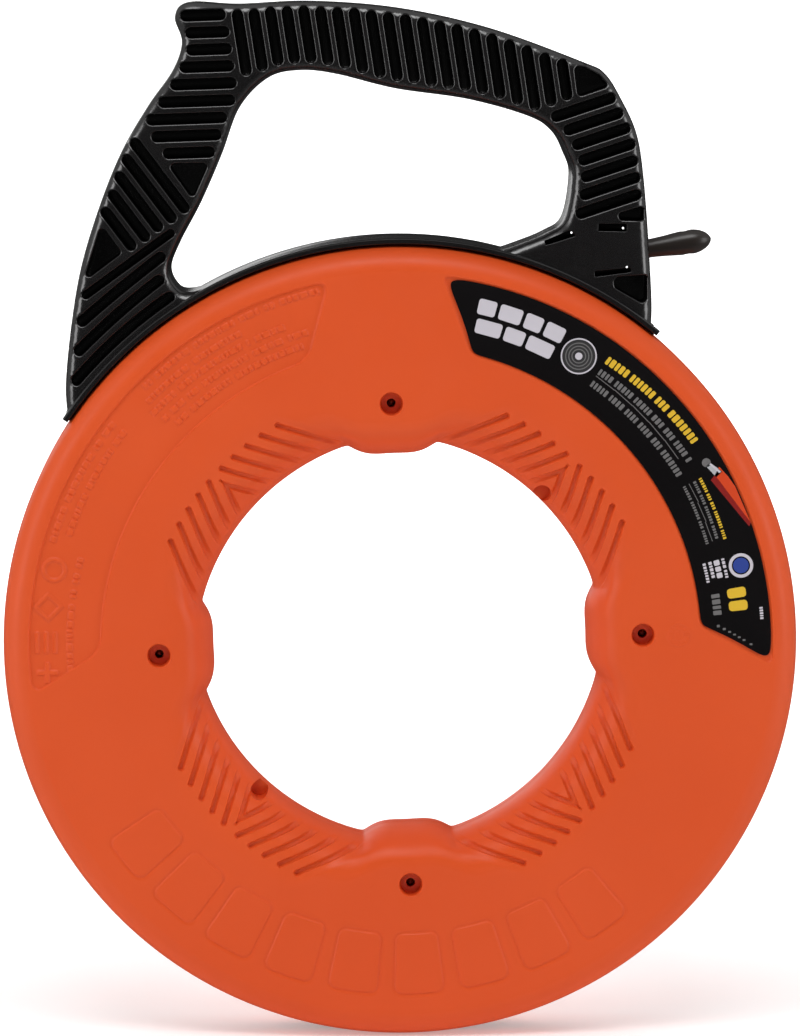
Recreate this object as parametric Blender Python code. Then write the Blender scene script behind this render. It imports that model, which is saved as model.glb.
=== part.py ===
"""Fish tape reel: a winder case on a curved handle, with a coiled fibreglass tape.

The reel stands upright on its rim. X runs to the nose of the handle, Y runs
through the case from front (-Y) to back (+Y), and Z is up. The origin is under
the middle of the rim. All sizes below are in millimetres; 2-D shapes are drawn
as (x, z) about the case's centre, and depths are measured along Y.

The front and rear shells close on each other around the tape coil. The
handle's shoe is held in the slot around their rim, so the case turns freely
inside the handle. The tape leaves the coil, passes through the shoe and ends
in a tip outside the handle's nose.
"""

import math

import bmesh
import bpy
from mathutils import Vector

MM = 0.001

# Case: the turned shape shared by the two shells
RIM_R = 152.5
CASE_HALF = 26.0
WALL = 2.5
HOLE_R = 76.3
HOLE_FLATNESS = 1.5
LOBE_R = 72.1
LOBE_HALF_DEG = 13.2
LOBE_POWER = 2.8
FACE_OUTER_R = 143.5
RIM_FLAT_HALF = 13.0
SLOT_HALF = 8.0
PARTING_GAP = 0.15
CASE_TURN_DEG = 2.3

# Fasteners that join the shells
SCREW_CIRCLE_R = 92.7
BOSS_R = 5.5
RECESS_R = 4.35
FRONT_RECESS_DEPTH = 6.0
REAR_RECESS_DEPTH = 9.0
SCREW_HOLE_R = 2.0
SCREW_SHANK_R = 1.7
SCREW_HEAD_R = 3.7
SCREW_HEAD_H = 2.6
PEG_CIRCLE_R = 79.0
PEG_R = 3.5
PEG_FLOOR = 6.0

# Label and the recess it sits in
LABEL_INNER_R = 115.0
LABEL_OUTER_R = 141.8
LABEL_OUTER_SPAN_DEG = (-4.2, 80.2)
LABEL_INNER_SPAN_DEG = (2.1, 73.9)
LABEL_RECESS = 1.0
LABEL_THICK = 0.5

# Handle
GRIP_HALF = 17.5
GRIP_FILLET = 3.0
PATH_STEPS = 3
FOOT_FADE = 5.0
WEB_HALF = 1.5
BAND_OUTER_R = 155.2
BAND_INNER_R = 153.2
BAND_HALF = 18.5
BAND_FROM_DEG = 50.4
BAND_TO_DEG = 146.2
NECK_HALF = 7.4
FLANGE_OUTER_R = 149.0
FLANGE_INNER_R = 146.5
FLANGE_HALF = 14.0
FOOT_TRIM_R = 154.1
POCKET_HALF_WIDTH = 2.1
HEEL_CURVATURE = 0.0018

# Tape
TAPE_R = 2.4
COIL_OUTER_R = 130.8
COIL_TURNS_DEEP = 4
COIL_TURNS_WIDE = 5
LEAD_TILT_DEG = 9.0
LEAD_OFFSET_R = COIL_OUTER_R + 0.4 + TAPE_R
LEAD_LENGTH = 95.0
FERRULE_LENGTH = 13.7
FERRULE_R = 3.0
TIP_START = 109.3
TIP_END = 142.4
TIP_NECK_R = 3.5
TIP_WIDE_R = 4.75
TIP_EYELET_R = 1.7
LEAD_BORE_R = 2.9
FERRULE_BORE_R = 3.4
FERRULE_BORE_FROM = 94.0
NOSE_BORE_R = 4.0
NOSE_BORE_FROM = 108.5
JOINT_GAP = 0.3

# Anchor of the tape's inner end
ANCHOR_DEG = 205.0
ANCHOR_R = 97.0
ANCHOR_SCREW_R = 88.5


def on_circle(radius, degrees):
    """A point (x, z) about the case's centre."""
    angle = math.radians(degrees)
    return radius * math.cos(angle), radius * math.sin(angle)


def world(x, y, z):
    """Millimetres about the case's centre to metres in the reel's frame."""
    return Vector((x * MM, y * MM, (z + RIM_R) * MM))


# ---------------------------------------------------------------- solids

def merged(*solids):
    """Several (vertices, faces) solids as one list each."""
    vertices, faces = [], []
    for solid_vertices, solid_faces in solids:
        start = len(vertices)
        vertices += solid_vertices
        faces += [[start + i for i in face] for face in solid_faces]
    return vertices, faces


def lofted(loops, ring=False):
    """A solid through loops of equal length: capped, or closed into a ring."""
    count = len(loops[0])
    vertices = [point for loop in loops for point in loop]
    faces = []
    spans = len(loops) if ring else len(loops) - 1
    for k in range(spans):
        low = k * count
        high = (k + 1) % len(loops) * count
        for i in range(count):
            j = (i + 1) % count
            faces.append([low + i, low + j, high + j, high + i])
    if not ring:
        faces.append(list(range(count)))
        faces.append([(len(loops) - 1) * count + i for i in range(count)])
    return vertices, faces


def turned_ring(angles, section_at):
    """A ring about the case's axis; section_at(angle) lists its (r, y) points."""
    loops = []
    for degrees in angles:
        loop = []
        for radius, y in section_at(degrees):
            x, z = on_circle(radius, degrees)
            loop.append((x, y, z))
        loops.append(loop)
    return lofted(loops, ring=True)


def arc_block(section, from_deg, to_deg, steps):
    """The part of a ring between two angles, with flat ends."""
    loops = []
    for k in range(steps + 1):
        degrees = from_deg + (to_deg - from_deg) * k / steps
        loop = []
        for radius, y in section:
            x, z = on_circle(radius, degrees)
            loop.append((x, y, z))
        loops.append(loop)
    return lofted(loops)


def box_section(inner_r, outer_r, low_y, high_y):
    return [(inner_r, low_y), (outer_r, low_y), (outer_r, high_y), (inner_r, high_y)]


def prism(outline, low_y, high_y):
    """A straight prism of an (x, z) outline."""
    return lofted([[(x, y, z) for x, z in outline] for y in (low_y, high_y)])


def turned_rod(centre, stations, sides):
    """A round bar along Y at (x, z), through (radius, y) stations."""
    loops = []
    for radius, y in stations:
        loop = []
        for k in range(sides):
            x, z = on_circle(radius, 360.0 * k / sides)
            loop.append((centre[0] + x, y, centre[1] + z))
        loops.append(loop)
    return lofted(loops)


def rod(centre, radius, low_y, high_y, sides=16):
    return turned_rod(centre, [(radius, low_y), (radius, high_y)], sides)


def turned_bar(start, direction, stations, sides):
    """A bar turned about an axis in the XZ plane, through (distance, radius) stations."""
    across = (-direction[1], direction[0])
    loops = []
    for distance, radius in stations:
        loop = []
        for k in range(sides):
            angle = 2 * math.pi * k / sides
            side = radius * math.cos(angle)
            x = start[0] + direction[0] * distance + across[0] * side
            z = start[1] + direction[1] * distance + across[1] * side
            loop.append((x, radius * math.sin(angle), z))
        loops.append(loop)
    return lofted(loops)


# ---------------------------------------------------------------- outlines

def smooth_path(points):
    """A Catmull-Rom curve through points; a repeated point makes a corner."""
    path = []
    for k in range(len(points) - 1):
        if points[k] == points[k + 1]:
            continue
        before = Vector(points[max(k - 1, 0)])
        start = Vector(points[k])
        end = Vector(points[k + 1])
        after = Vector(points[min(k + 2, len(points) - 1)])
        for step in range(PATH_STEPS):
            t = step / PATH_STEPS
            point = 0.5 * (
                2 * start
                + (end - before) * t
                + (2 * before - 5 * start + 4 * end - after) * t * t
                + (3 * start - before - 3 * end + after) * t ** 3
            )
            path.append((point.x, point.y))
    path.append(tuple(points[-1]))
    return path


def grip_outer_path():
    """The handle's outside edge, from the foot behind to the foot at the nose."""
    heel = [(-125.3, 80.9), (-127.8, 91.8), (-127.4, 108.2), (-123.2, 138.6)]
    rear = [(-116.4, 163.0), (-106.8, 187.3), (-96.2, 205.6), (-86.7, 219.2)]
    horn = [(-83.2, 229.9), (-85.8, 239.4), (-85.8, 239.4), (-80.8, 244.9), (-80.8, 244.9)]
    top = [(-61.6, 244.2), (-33.8, 245.3), (-0.1, 242.6), (34.7, 234.9), (69.4, 222.3)]
    knuckle = [(77.8, 217.9), (83.8, 208.8), (90.0, 195.3), (92.8, 178.9)]
    nose = [(95.1, 150.1), (96.1, 124.3), (93.1, 114.4)]
    return smooth_path(heel + rear + horn + top + knuckle + nose)


def finger_path():
    """The edge of the finger opening, from the nose's foot round to the rear foot."""
    ramp = [(29.3, 147.4), (44.2, 152.4), (55.5, 157.0), (62.6, 162.5), (65.4, 178.8)]
    front = [(63.1, 187.1), (58.5, 195.4), (48.8, 201.6), (25.7, 208.1), (-2.1, 212.2)]
    rear = [(-24.5, 217.7), (-38.3, 219.1), (-50.2, 216.3), (-61.1, 205.2), (-68.0, 187.3)]
    foot = [(-76.0, 169.0), (-84.0, 153.8), (-87.8, 143.1), (-84.7, 136.2), (-79.6, 135.0), (-71.6, 137.2)]
    return smooth_path(ramp + front + rear + foot)


def inset_loop(loop, distance):
    """A clockwise loop moved inwards along its corners' bisectors.

    The feet aren't moved, so that they meet the shoe at full thickness.
    """
    moved = []
    count = len(loop)
    for k in range(count):
        before = Vector(loop[k - 1])
        here = Vector(loop[k])
        after = Vector(loop[(k + 1) % count])
        along_in = (here - before).normalized()
        along_out = (after - here).normalized()
        normal_in = Vector((along_in.y, -along_in.x))
        normal_out = Vector((along_out.y, -along_out.x))
        bisector = (normal_in + normal_out).normalized()
        above_band = max(0.0, min(1.0, (here.length - BAND_OUTER_R) / FOOT_FADE))
        reach = above_band * distance / max(bisector.dot(normal_in), 0.6)
        moved.append(tuple(here + bisector * reach))
    return moved


def capsule(start, end, half_width):
    """A narrow outline round a centre line, with ends of two sides each."""
    start, end = Vector(start), Vector(end)
    along = (end - start).normalized() * half_width
    across = Vector((-along.y, along.x))
    corners = [start - across, end - across, end + along, end + across, start + across, start - along]
    return [tuple(corner) for corner in corners]


def distance_to(path, point):
    """The distance from a point to a path of straight pieces."""
    nearest = math.inf
    here = Vector(point)
    for k in range(len(path) - 1):
        start = Vector(path[k])
        along = Vector(path[k + 1]) - start
        share = max(0.0, min(1.0, (here - start).dot(along) / along.length_squared))
        nearest = min(nearest, (here - start - along * share).length)
    return nearest


def run_inside(point_at, reach, margins, limits, step=0.5):
    """The ends of the stretch about point_at(0) that keeps to the grip's walls.

    margins are the distances kept from the outer edge and from the finger
    opening; limits are (point, normal) lines that the stretch stays beyond.
    """
    outer, fingers = grip_outer_path(), finger_path()

    def is_free(point):
        if distance_to(outer, point) < margins[0] or distance_to(fingers, point) < margins[1]:
            return False
        here = Vector(point)
        return all((here - Vector(base)).dot(Vector(normal)) > 0 for base, normal in limits)

    ends = []
    for way in (-1, 1):
        travel = 0.0
        while travel < reach and is_free(point_at(way * (travel + step))):
            travel += step
        ends.append(way * travel)
    return ends


def straight_pockets(first, pitch, count, heading_deg, margins, limits):
    """Centre lines of parallel pockets, each as long as the grip allows."""
    heading = Vector(on_circle(1.0, heading_deg))
    lines = []
    for k in range(count):
        middle = Vector(first) + Vector(pitch) * k
        ends = run_inside(lambda travel: middle + heading * travel, 40.0, margins, limits)
        lines.append([tuple(middle + heading * travel) for travel in ends])
    return lines


def bent_pocket(middle, heading_deg, half_width, curvature):
    """A pocket about a gentle bend, as long as the grip allows."""
    heading = Vector(on_circle(1.0, heading_deg))
    outward = Vector((-heading.y, heading.x))

    def point_at(travel, aside=0.0):
        offset = aside - 0.5 * curvature * travel * travel
        return tuple(Vector(middle) + heading * travel + outward * offset)

    low, high = run_inside(point_at, 40.0, (4.0, 4.6), [])
    travels = [low + (high - low) * step / 4 for step in range(5)]
    near = [point_at(travel, -half_width) for travel in travels]
    far = [point_at(travel, half_width) for travel in travels]
    tip_low = point_at(low - half_width)
    tip_high = point_at(high + half_width)
    return [tip_low] + near + [tip_high] + far[::-1]


def grip_pockets():
    """Outlines of the pockets in each face of the handle."""
    outlines = []
    horn_rows = straight_pockets(
        (-74.5, 240.0), (-0.60, -6.50), 9, 2.0, (3.9, 4.6),
        [((-67.0, 233.6), (-0.99, -0.15)), ((-89.4, 189.0), (0.8, 0.6))],
    )
    bar_slots = straight_pockets(
        (-60.4, 230.1), (6.46, -0.78), 20, -81.2, (3.9, 4.8),
        [((-58.7, 218.9), (0.3, 0.95)), ((63.5, 209.6), (-0.32, 0.95))],
    )
    nose_rows = straight_pockets(
        (70.2, 205.3), (1.43, -6.20), 7, 18.5, (3.6, 5.0), [],
    )
    elbow_slots = straight_pockets(
        (-91.5, 179.0), (-4.01, -4.96), 5, -53.0, (3.4, 4.6),
        [((-82.1, 166.4), (-0.56, 0.83))],
    )
    for line in horn_rows + bar_slots + nose_rows + elbow_slots:
        outlines.append(capsule(line[0], line[1], POCKET_HALF_WIDTH))

    heel_rows = [
        ((-103.8, 145.6), 36.0, 1.6),
        ((-107.3, 135.8), 39.4, POCKET_HALF_WIDTH),
        ((-108.1, 126.4), 41.4, POCKET_HALF_WIDTH),
        ((-107.6, 117.8), 42.0, POCKET_HALF_WIDTH),
    ]
    for k, (middle, heading_deg, half_width) in enumerate(heel_rows):
        outlines.append(bent_pocket(middle, heading_deg, half_width, HEEL_CURVATURE * k))

    outlines += [
        [(-89.0, 183.9), (-72.8, 184.2), (-79.1, 169.9)],
        [(-114.0, 161.0), (-106.0, 149.9), (-118.2, 140.7), (-120.3, 141.0)],
        [(65.8, 220.9), (70.0, 220.3), (75.6, 217.3), (78.8, 213.7), (78.0, 212.4), (67.3, 208.8)],
        [(82.7, 164.7), (91.2, 167.3), (92.8, 166.8), (92.8, 162.2), (91.3, 161.8), (83.6, 162.0)],
        [(81.3, 138.8), (82.6, 140.6), (93.2, 141.3), (94.2, 140.6), (94.2, 131.6), (92.2, 130.3), (81.6, 136.4)],
        [(54.8, 154.2), (64.6, 158.4), (66.9, 156.1), (55.4, 152.5)],
        [(75.3, 158.0), (75.3, 160.9), (86.3, 160.8), (86.3, 157.7)],
        [(74.1, 140.4), (73.9, 142.7), (87.7, 144.1), (88.1, 142.3)],
    ]
    return outlines


# ---------------------------------------------------------------- Blender objects

def clear_scene():
    for existing in list(bpy.data.objects):
        bpy.data.objects.remove(existing, do_unlink=True)


def plastic(name, colour, roughness, metallic=0.0):
    material = bpy.data.materials.new(name)
    material.use_nodes = True
    shader = material.node_tree.nodes["Principled BSDF"]
    shader.inputs["Base Color"].default_value = (*colour, 1.0)
    shader.inputs["Roughness"].default_value = roughness
    shader.inputs["Metallic"].default_value = metallic
    return material


def make_object(name, solid, material, parent):
    """An object of a solid given in millimetres about the case's centre."""
    vertices, faces = solid
    origin = parent.location if parent else Vector((0.0, 0.0, 0.0))
    mesh = bpy.data.meshes.new(name)
    mesh.from_pydata([world(*vertex) - origin for vertex in vertices], [], faces)
    shape = bmesh.new()
    shape.from_mesh(mesh)
    bmesh.ops.recalc_face_normals(shape, faces=shape.faces)
    shape.to_mesh(mesh)
    shape.free()
    mesh.shade_smooth()
    mesh.set_sharp_from_angle(angle=math.radians(30))
    made = bpy.data.objects.new(name, mesh)
    if material:
        made.data.materials.append(material)
    made.parent = parent
    bpy.context.scene.collection.objects.link(made)
    return made


def guide(name, solid, parent):
    """A shape used only by a Boolean."""
    made = make_object(name, solid, None, parent)
    made.hide_render = True
    made.display_type = "WIRE"
    return made


def combine(target, operation, other):
    modifier = target.modifiers.new(operation.title() + "_" + other.name, "BOOLEAN")
    modifier.operation = operation
    modifier.solver = "EXACT"
    modifier.object = other


def axis_empty(name, location):
    empty = bpy.data.objects.new(name, None)
    empty.location = location
    bpy.context.scene.collection.objects.link(empty)
    return empty


# ---------------------------------------------------------------- case

def case_angles():
    """Angles round the case, close together at the four lobes."""
    near = [LOBE_HALF_DEG * share for share in (0.16, 0.5, 0.75, 0.9, 1.0)]
    offsets = [-offset for offset in reversed(near)] + near
    plain_steps = 7
    plain = 90.0 - 2 * LOBE_HALF_DEG
    for k in range(1, plain_steps):
        offsets.append(LOBE_HALF_DEG + plain * k / plain_steps)
    return [CASE_TURN_DEG + 90.0 * lobe + offset for lobe in range(4) for offset in offsets]


def hub_shape(degrees):
    """The hole's radius at an angle, and how far that is on a lobe, from 0 to 1."""
    offset = abs((degrees - CASE_TURN_DEG + 45.0) % 90.0 - 45.0)
    from_middle = (45.0 - max(offset, LOBE_HALF_DEG)) / (45.0 - LOBE_HALF_DEG)
    between = HOLE_R + HOLE_FLATNESS * from_middle ** 2
    lobe = 1.0 - min(1.0, offset / LOBE_HALF_DEG) ** LOBE_POWER
    return between + (LOBE_R - between) * lobe, lobe


def shell_section(degrees, side):
    """One shell's wall at an angle, as (r, y) points; side is -1 for the front."""
    hub, lobe = hub_shape(degrees)
    spread = 18.0 - 4.5 * lobe
    face = CASE_HALF
    outside = [
        (hub, PARTING_GAP),
        (hub + 0.02 * spread, 8.0),
        (hub + 0.16 * spread, 15.5),
        (hub + 0.40 * spread, 21.5),
        (hub + 0.68 * spread, 24.8),
        (hub + spread, face),
        (FACE_OUTER_R, face),
        (147.6, face - 1.4),
        (150.7, face - 4.8),
        (152.1, face - 9.2),
        (RIM_R, RIM_FLAT_HALF),
        (RIM_R, SLOT_HALF),
    ]
    inside = [
        (RIM_R - WALL, SLOT_HALF),
        (RIM_R - WALL, RIM_FLAT_HALF),
        (149.6, face - 9.6),
        (148.5, face - 6.4),
        (146.2, face - 3.8),
        (FACE_OUTER_R - 0.3, face - WALL),
        (hub + spread, face - WALL),
        (hub + 0.40 * spread + 1.9, 19.8),
        (hub + 0.16 * spread + 2.4, 14.7),
        (hub + 0.02 * spread + WALL, 8.0),
        (hub + WALL, PARTING_GAP),
    ]
    return [(radius, side * depth) for radius, depth in outside + inside]


def screw_angles():
    names = ("right", "top", "left", "bottom")
    return {name: CASE_TURN_DEG + 90.0 * k for k, name in enumerate(names)}


def make_shell(name, side, recess_depth, peg_angles, material, parent, extra_bosses, extra_cuts):
    """A shell with its four screw bosses and two blind peg holes."""
    shell = make_object(name, turned_ring(case_angles(), lambda a: shell_section(a, side)), material, parent)
    inner_face = side * (CASE_HALF - 0.9)
    bosses, cuts = list(extra_bosses), list(extra_cuts)
    for degrees in screw_angles().values():
        centre = on_circle(SCREW_CIRCLE_R, degrees)
        bosses.append(rod(centre, BOSS_R, side * PARTING_GAP, inner_face))
        seat = side * (CASE_HALF - recess_depth)
        stations = [(SCREW_HOLE_R, -side), (SCREW_HOLE_R, seat), (RECESS_R, seat), (RECESS_R, side * 30.0)]
        cuts.append(turned_rod(centre, stations, 16))
    for degrees in peg_angles:
        wall = box_section(PEG_CIRCLE_R - 0.8, PEG_CIRCLE_R + PEG_R + 2.2, side * 1.0, side * 18.0)
        bosses.append(arc_block(wall, degrees - 4.5, degrees + 4.5, 2))
        cuts.append(rod(on_circle(PEG_CIRCLE_R, degrees), PEG_R, side * PEG_FLOOR, side * 30.0))
    combine(shell, "UNION", guide(name + "_bosses", merged(*bosses), parent))
    combine(shell, "DIFFERENCE", guide(name + "_cuts", merged(*cuts), parent))
    return shell


def label_outline(margin):
    """The label's outline: two arcs joined by slanted ends."""
    outline = []
    widen_deg = math.degrees(margin / LABEL_INNER_R)
    for radius, span in (
        (LABEL_INNER_R - margin, LABEL_INNER_SPAN_DEG),
        (LABEL_OUTER_R + margin, LABEL_OUTER_SPAN_DEG[::-1]),
    ):
        for k in range(19):
            low, high = min(span) - widen_deg, max(span) + widen_deg
            share = k / 18 if span[0] < span[1] else 1 - k / 18
            outline.append(on_circle(radius, CASE_TURN_DEG + low + (high - low) * share))
    return outline


def make_case(parent):
    orange = plastic("case_orange", (0.78, 0.13, 0.025), 0.38)
    label_cut = prism(label_outline(0.6), -(CASE_HALF - LABEL_RECESS), -(CASE_HALF + 1.0))
    peg_angles = [CASE_TURN_DEG + 45.0 + 90.0 * k for k in range(4)]
    make_shell(
        "front_shell", -1, FRONT_RECESS_DEPTH, peg_angles[0::2], orange, parent, [], [label_cut],
    )

    anchor_centre = on_circle(ANCHOR_SCREW_R, ANCHOR_DEG)
    anchor_boss = rod(anchor_centre, 4.5, 5.4, CASE_HALF - 0.9)
    anchor_hole = rod(anchor_centre, 1.6, 4.0, 16.0, 12)
    make_shell(
        "rear_shell", 1, REAR_RECESS_DEPTH, peg_angles[1::2], orange, parent, [anchor_boss], [anchor_hole],
    )


def make_shell_screws(parent):
    """Screws driven in from the rear; their points show in the front recesses."""
    steel = plastic("screw_steel", (0.30, 0.29, 0.28), 0.35, 1.0)
    seat = CASE_HALF - REAR_RECESS_DEPTH + JOINT_GAP
    for name, degrees in screw_angles().items():
        centre = on_circle(SCREW_CIRCLE_R, degrees)
        stations = [
            (SCREW_HEAD_R * 0.72, seat + SCREW_HEAD_H),
            (SCREW_HEAD_R, seat + SCREW_HEAD_H * 0.45),
            (SCREW_HEAD_R, seat),
            (SCREW_SHANK_R, seat),
            (SCREW_SHANK_R, -16.5),
            (0.5, -19.0),
        ]
        make_object("shell_screw_" + name, turned_rod(centre, stations, 12), steel, parent)


def make_label(parent):
    black = plastic("label_film", (0.012, 0.011, 0.011), 0.30)
    floor = CASE_HALF - LABEL_RECESS + JOINT_GAP
    sheet = prism(label_outline(0.0), -(floor + LABEL_THICK), -floor)
    make_object("product_label", sheet, black, parent)


# ---------------------------------------------------------------- handle

def grip_solid():
    """The grip without its pockets: one outline, with rounded edges on both faces."""
    loop = grip_outer_path() + finger_path()
    levels = []
    for turn_deg in (90.0, 45.0, 0.0):
        turn = math.radians(turn_deg)
        depth = GRIP_HALF - GRIP_FILLET + GRIP_FILLET * math.sin(turn)
        levels.append((depth, GRIP_FILLET * (1.0 - math.cos(turn))))
    loops = []
    for depth, inset in levels + levels[::-1]:
        face = -1 if len(loops) < len(levels) else 1
        loops.append([(x, face * depth, z) for x, z in inset_loop(loop, inset)])
    return lofted(loops)


def shoe_section():
    """The band over the rim, the neck in its slot and the flange behind the lips."""
    half = [
        (BAND_OUTER_R, BAND_HALF - 1.2),
        (BAND_OUTER_R - 0.8, BAND_HALF),
        (BAND_INNER_R, BAND_HALF),
        (BAND_INNER_R, NECK_HALF),
        (FLANGE_OUTER_R, NECK_HALF),
        (FLANGE_OUTER_R, FLANGE_HALF),
        (FLANGE_INNER_R, FLANGE_HALF),
    ]
    return half + [(radius, -y) for radius, y in reversed(half)]


def lead_axis():
    """The tape's straight run: its first point on the coil, and its direction."""
    start = on_circle(LEAD_OFFSET_R, 90.0 + LEAD_TILT_DEG)
    return start, on_circle(1.0, LEAD_TILT_DEG)


def make_handle():
    black = plastic("handle_black", (0.010, 0.009, 0.009), 0.32)
    handle = make_object("handle", grip_solid(), black, None)
    trim_steps = [3.0 * k for k in range(120)]
    trim_disc = prism([on_circle(FOOT_TRIM_R, degrees) for degrees in trim_steps], -30.0, 30.0)
    combine(handle, "DIFFERENCE", guide("handle_foot_trim", trim_disc, None))
    shoe = arc_block(shoe_section(), BAND_FROM_DEG, BAND_TO_DEG, 32)
    combine(handle, "UNION", guide("handle_shoe", shoe, None))

    cuts = []
    for outline in grip_pockets():
        cuts.append(prism(outline, -GRIP_HALF - 2.0, -WEB_HALF))
        cuts.append(prism(outline, WEB_HALF, GRIP_HALF + 2.0))
    start, direction = lead_axis()
    stations = [
        (40.0, LEAD_BORE_R),
        (FERRULE_BORE_FROM - 0.5, LEAD_BORE_R),
        (FERRULE_BORE_FROM, FERRULE_BORE_R),
        (NOSE_BORE_FROM - 0.5, FERRULE_BORE_R),
        (NOSE_BORE_FROM, NOSE_BORE_R),
        (128.0, NOSE_BORE_R),
    ]
    cuts.append(turned_bar(start, direction, stations, 16))
    combine(handle, "DIFFERENCE", guide("handle_cuts", merged(*cuts), None))


# ---------------------------------------------------------------- tape

def make_coil(parent, material):
    depth = 2 * TAPE_R * COIL_TURNS_DEEP
    half = TAPE_R * COIL_TURNS_WIDE
    inner = COIL_OUTER_R - depth
    section = [
        (inner, half - 1.5), (inner + 1.5, half), (COIL_OUTER_R - 1.5, half), (COIL_OUTER_R, half - 1.5),
    ]
    section += [(radius, -y) for radius, y in reversed(section)]
    angles = [6.0 * k for k in range(60)]
    make_object("tape_coil", turned_ring(angles, lambda a: section), material, parent)


def make_tail(parent, material):
    """The tape's inner end: it leaves the coil's inner turn and ends in the clip."""
    start_r = COIL_OUTER_R - 2 * TAPE_R * COIL_TURNS_DEEP - TAPE_R - 0.5
    start_deg, end_deg = ANCHOR_DEG + 62.0, ANCHOR_DEG - 2.0
    curve = bpy.data.curves.new("tape_tail", "CURVE")
    curve.dimensions = "3D"
    curve.bevel_depth = TAPE_R * MM
    curve.bevel_resolution = 2
    curve.render_resolution_u = 0
    curve.use_fill_caps = True
    spline = curve.splines.new("POLY")
    count = 14
    spline.points.add(count - 1)
    for k in range(count):
        share = k / (count - 1)
        ease = share * share * (3.0 - 2.0 * share)
        x, z = on_circle(start_r + (ANCHOR_R - start_r) * ease, start_deg + (end_deg - start_deg) * share)
        spline.points[k].co = (*(world(x, 0.0, z) - parent.location), 1.0)
    curve.materials.append(material)
    tail = bpy.data.objects.new("tape_tail", curve)
    tail.parent = parent
    bpy.context.scene.collection.objects.link(tail)


def anchor_box(along, radial, y_range):
    """A box at the anchor, as half its length along the rim and its radial range."""
    out_x, out_z = on_circle(1.0, ANCHOR_DEG)
    corners = []
    for r, t in ((radial[0], -along), (radial[1], -along), (radial[1], along), (radial[0], along)):
        corners.append((out_x * r - out_z * t, out_z * r + out_x * t))
    return prism(corners, y_range[0], y_range[1])


def make_anchor(parent):
    """The clip on the tape's inner end and the screw that holds it to the rear shell."""
    zinc = plastic("clip_zinc", (0.55, 0.55, 0.54), 0.35, 1.0)
    steel = plastic("anchor_screw_steel", (0.30, 0.29, 0.28), 0.35, 1.0)
    clip = make_object(
        "tape_anchor_clip", anchor_box(6.0, (ANCHOR_R - 4.2, ANCHOR_R + 4.2), (-4.2, 4.2)), zinc, parent,
    )
    tab = anchor_box(4.5, (ANCHOR_SCREW_R - 4.5, ANCHOR_R - 1.0), (2.6, 5.1))
    combine(clip, "UNION", guide("clip_tab", tab, parent))
    centre = on_circle(ANCHOR_SCREW_R, ANCHOR_DEG)
    middle = on_circle(ANCHOR_R, ANCHOR_DEG)
    along = on_circle(1.0, ANCHOR_DEG + 90.0)
    tail_bore = turned_bar(middle, along, [(-9.0, TAPE_R + 0.6), (9.0, TAPE_R + 0.6)], 12)
    combine(clip, "DIFFERENCE", guide("clip_bore", merged(tail_bore, rod(centre, 1.7, 1.0, 8.0, 12)), parent))

    stations = [(2.2, 0.6), (2.9, 1.2), (2.9, 2.3), (1.3, 2.3), (1.3, 14.0)]
    make_object("tape_anchor_screw", turned_rod(centre, stations, 12), steel, parent)


def make_pulled_tape(parent, tape_material):
    """The run through the handle, its end sleeve and its tip; they slide together."""
    start, direction = lead_axis()
    lead = turned_bar(start, direction, [(0.0, TAPE_R), (LEAD_LENGTH, TAPE_R)], 12)
    make_object("tape_lead", lead, tape_material, parent)

    brass = plastic("ferrule_metal", (0.52, 0.50, 0.46), 0.30, 1.0)
    low = LEAD_LENGTH + JOINT_GAP
    stations = [(low, 2.6), (low + 1.0, FERRULE_R), (low + FERRULE_LENGTH - 1.0, FERRULE_R)]
    stations.append((low + FERRULE_LENGTH, 2.6))
    make_object("tape_ferrule", turned_bar(start, direction, stations, 12), brass, parent)

    nylon = plastic("tip_nylon", (0.030, 0.020, 0.016), 0.35)
    shoulder = TIP_START + 11.0
    stations = [
        (TIP_START, TIP_NECK_R - 0.4),
        (TIP_START + 0.8, TIP_NECK_R),
        (shoulder, TIP_NECK_R + 0.1),
        (TIP_END - 15.0, TIP_WIDE_R - 0.3),
        (TIP_END - 9.0, TIP_WIDE_R),
        (TIP_END - 4.0, TIP_WIDE_R * 0.80),
        (TIP_END - 1.2, TIP_WIDE_R * 0.48),
        (TIP_END, TIP_WIDE_R * 0.12),
    ]
    tip = make_object("tape_tip", turned_bar(start, direction, stations, 16), nylon, parent)
    eye = TIP_END - 9.5
    across = (-direction[1], direction[0])
    foot = (start[0] + direction[0] * eye, start[1] + direction[1] * eye)
    eyelet = turned_bar(foot, across, [(-8.0, TIP_EYELET_R), (8.0, TIP_EYELET_R)], 12)
    combine(tip, "DIFFERENCE", guide("tip_eyelet", eyelet, parent))


def main():
    clear_scene()
    case_axis = axis_empty("case_axis", world(0.0, 0.0, 0.0))
    start, _ = lead_axis()
    pull_axis = axis_empty("pull_axis", world(start[0], 0.0, start[1]))
    tape = plastic("tape_fibreglass", (0.62, 0.20, 0.02), 0.30)
    make_case(case_axis)
    make_shell_screws(case_axis)
    make_label(case_axis)
    make_handle()
    make_coil(case_axis, tape)
    make_tail(case_axis, tape)
    make_anchor(case_axis)
    make_pulled_tape(pull_axis, tape)


main()
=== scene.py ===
"""Looks of the fish tape reel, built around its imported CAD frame.

2-D shapes are (x, z) in millimetres about the case's centre and depths run
along Y, as in the CAD source; the front is at -Y. Angles are in degrees,
anticlockwise from +X as seen from the front.
"""

import math

import bmesh
import bpy
import numpy as np
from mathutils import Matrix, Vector
from mathutils.geometry import delaunay_2d_cdt


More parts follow.
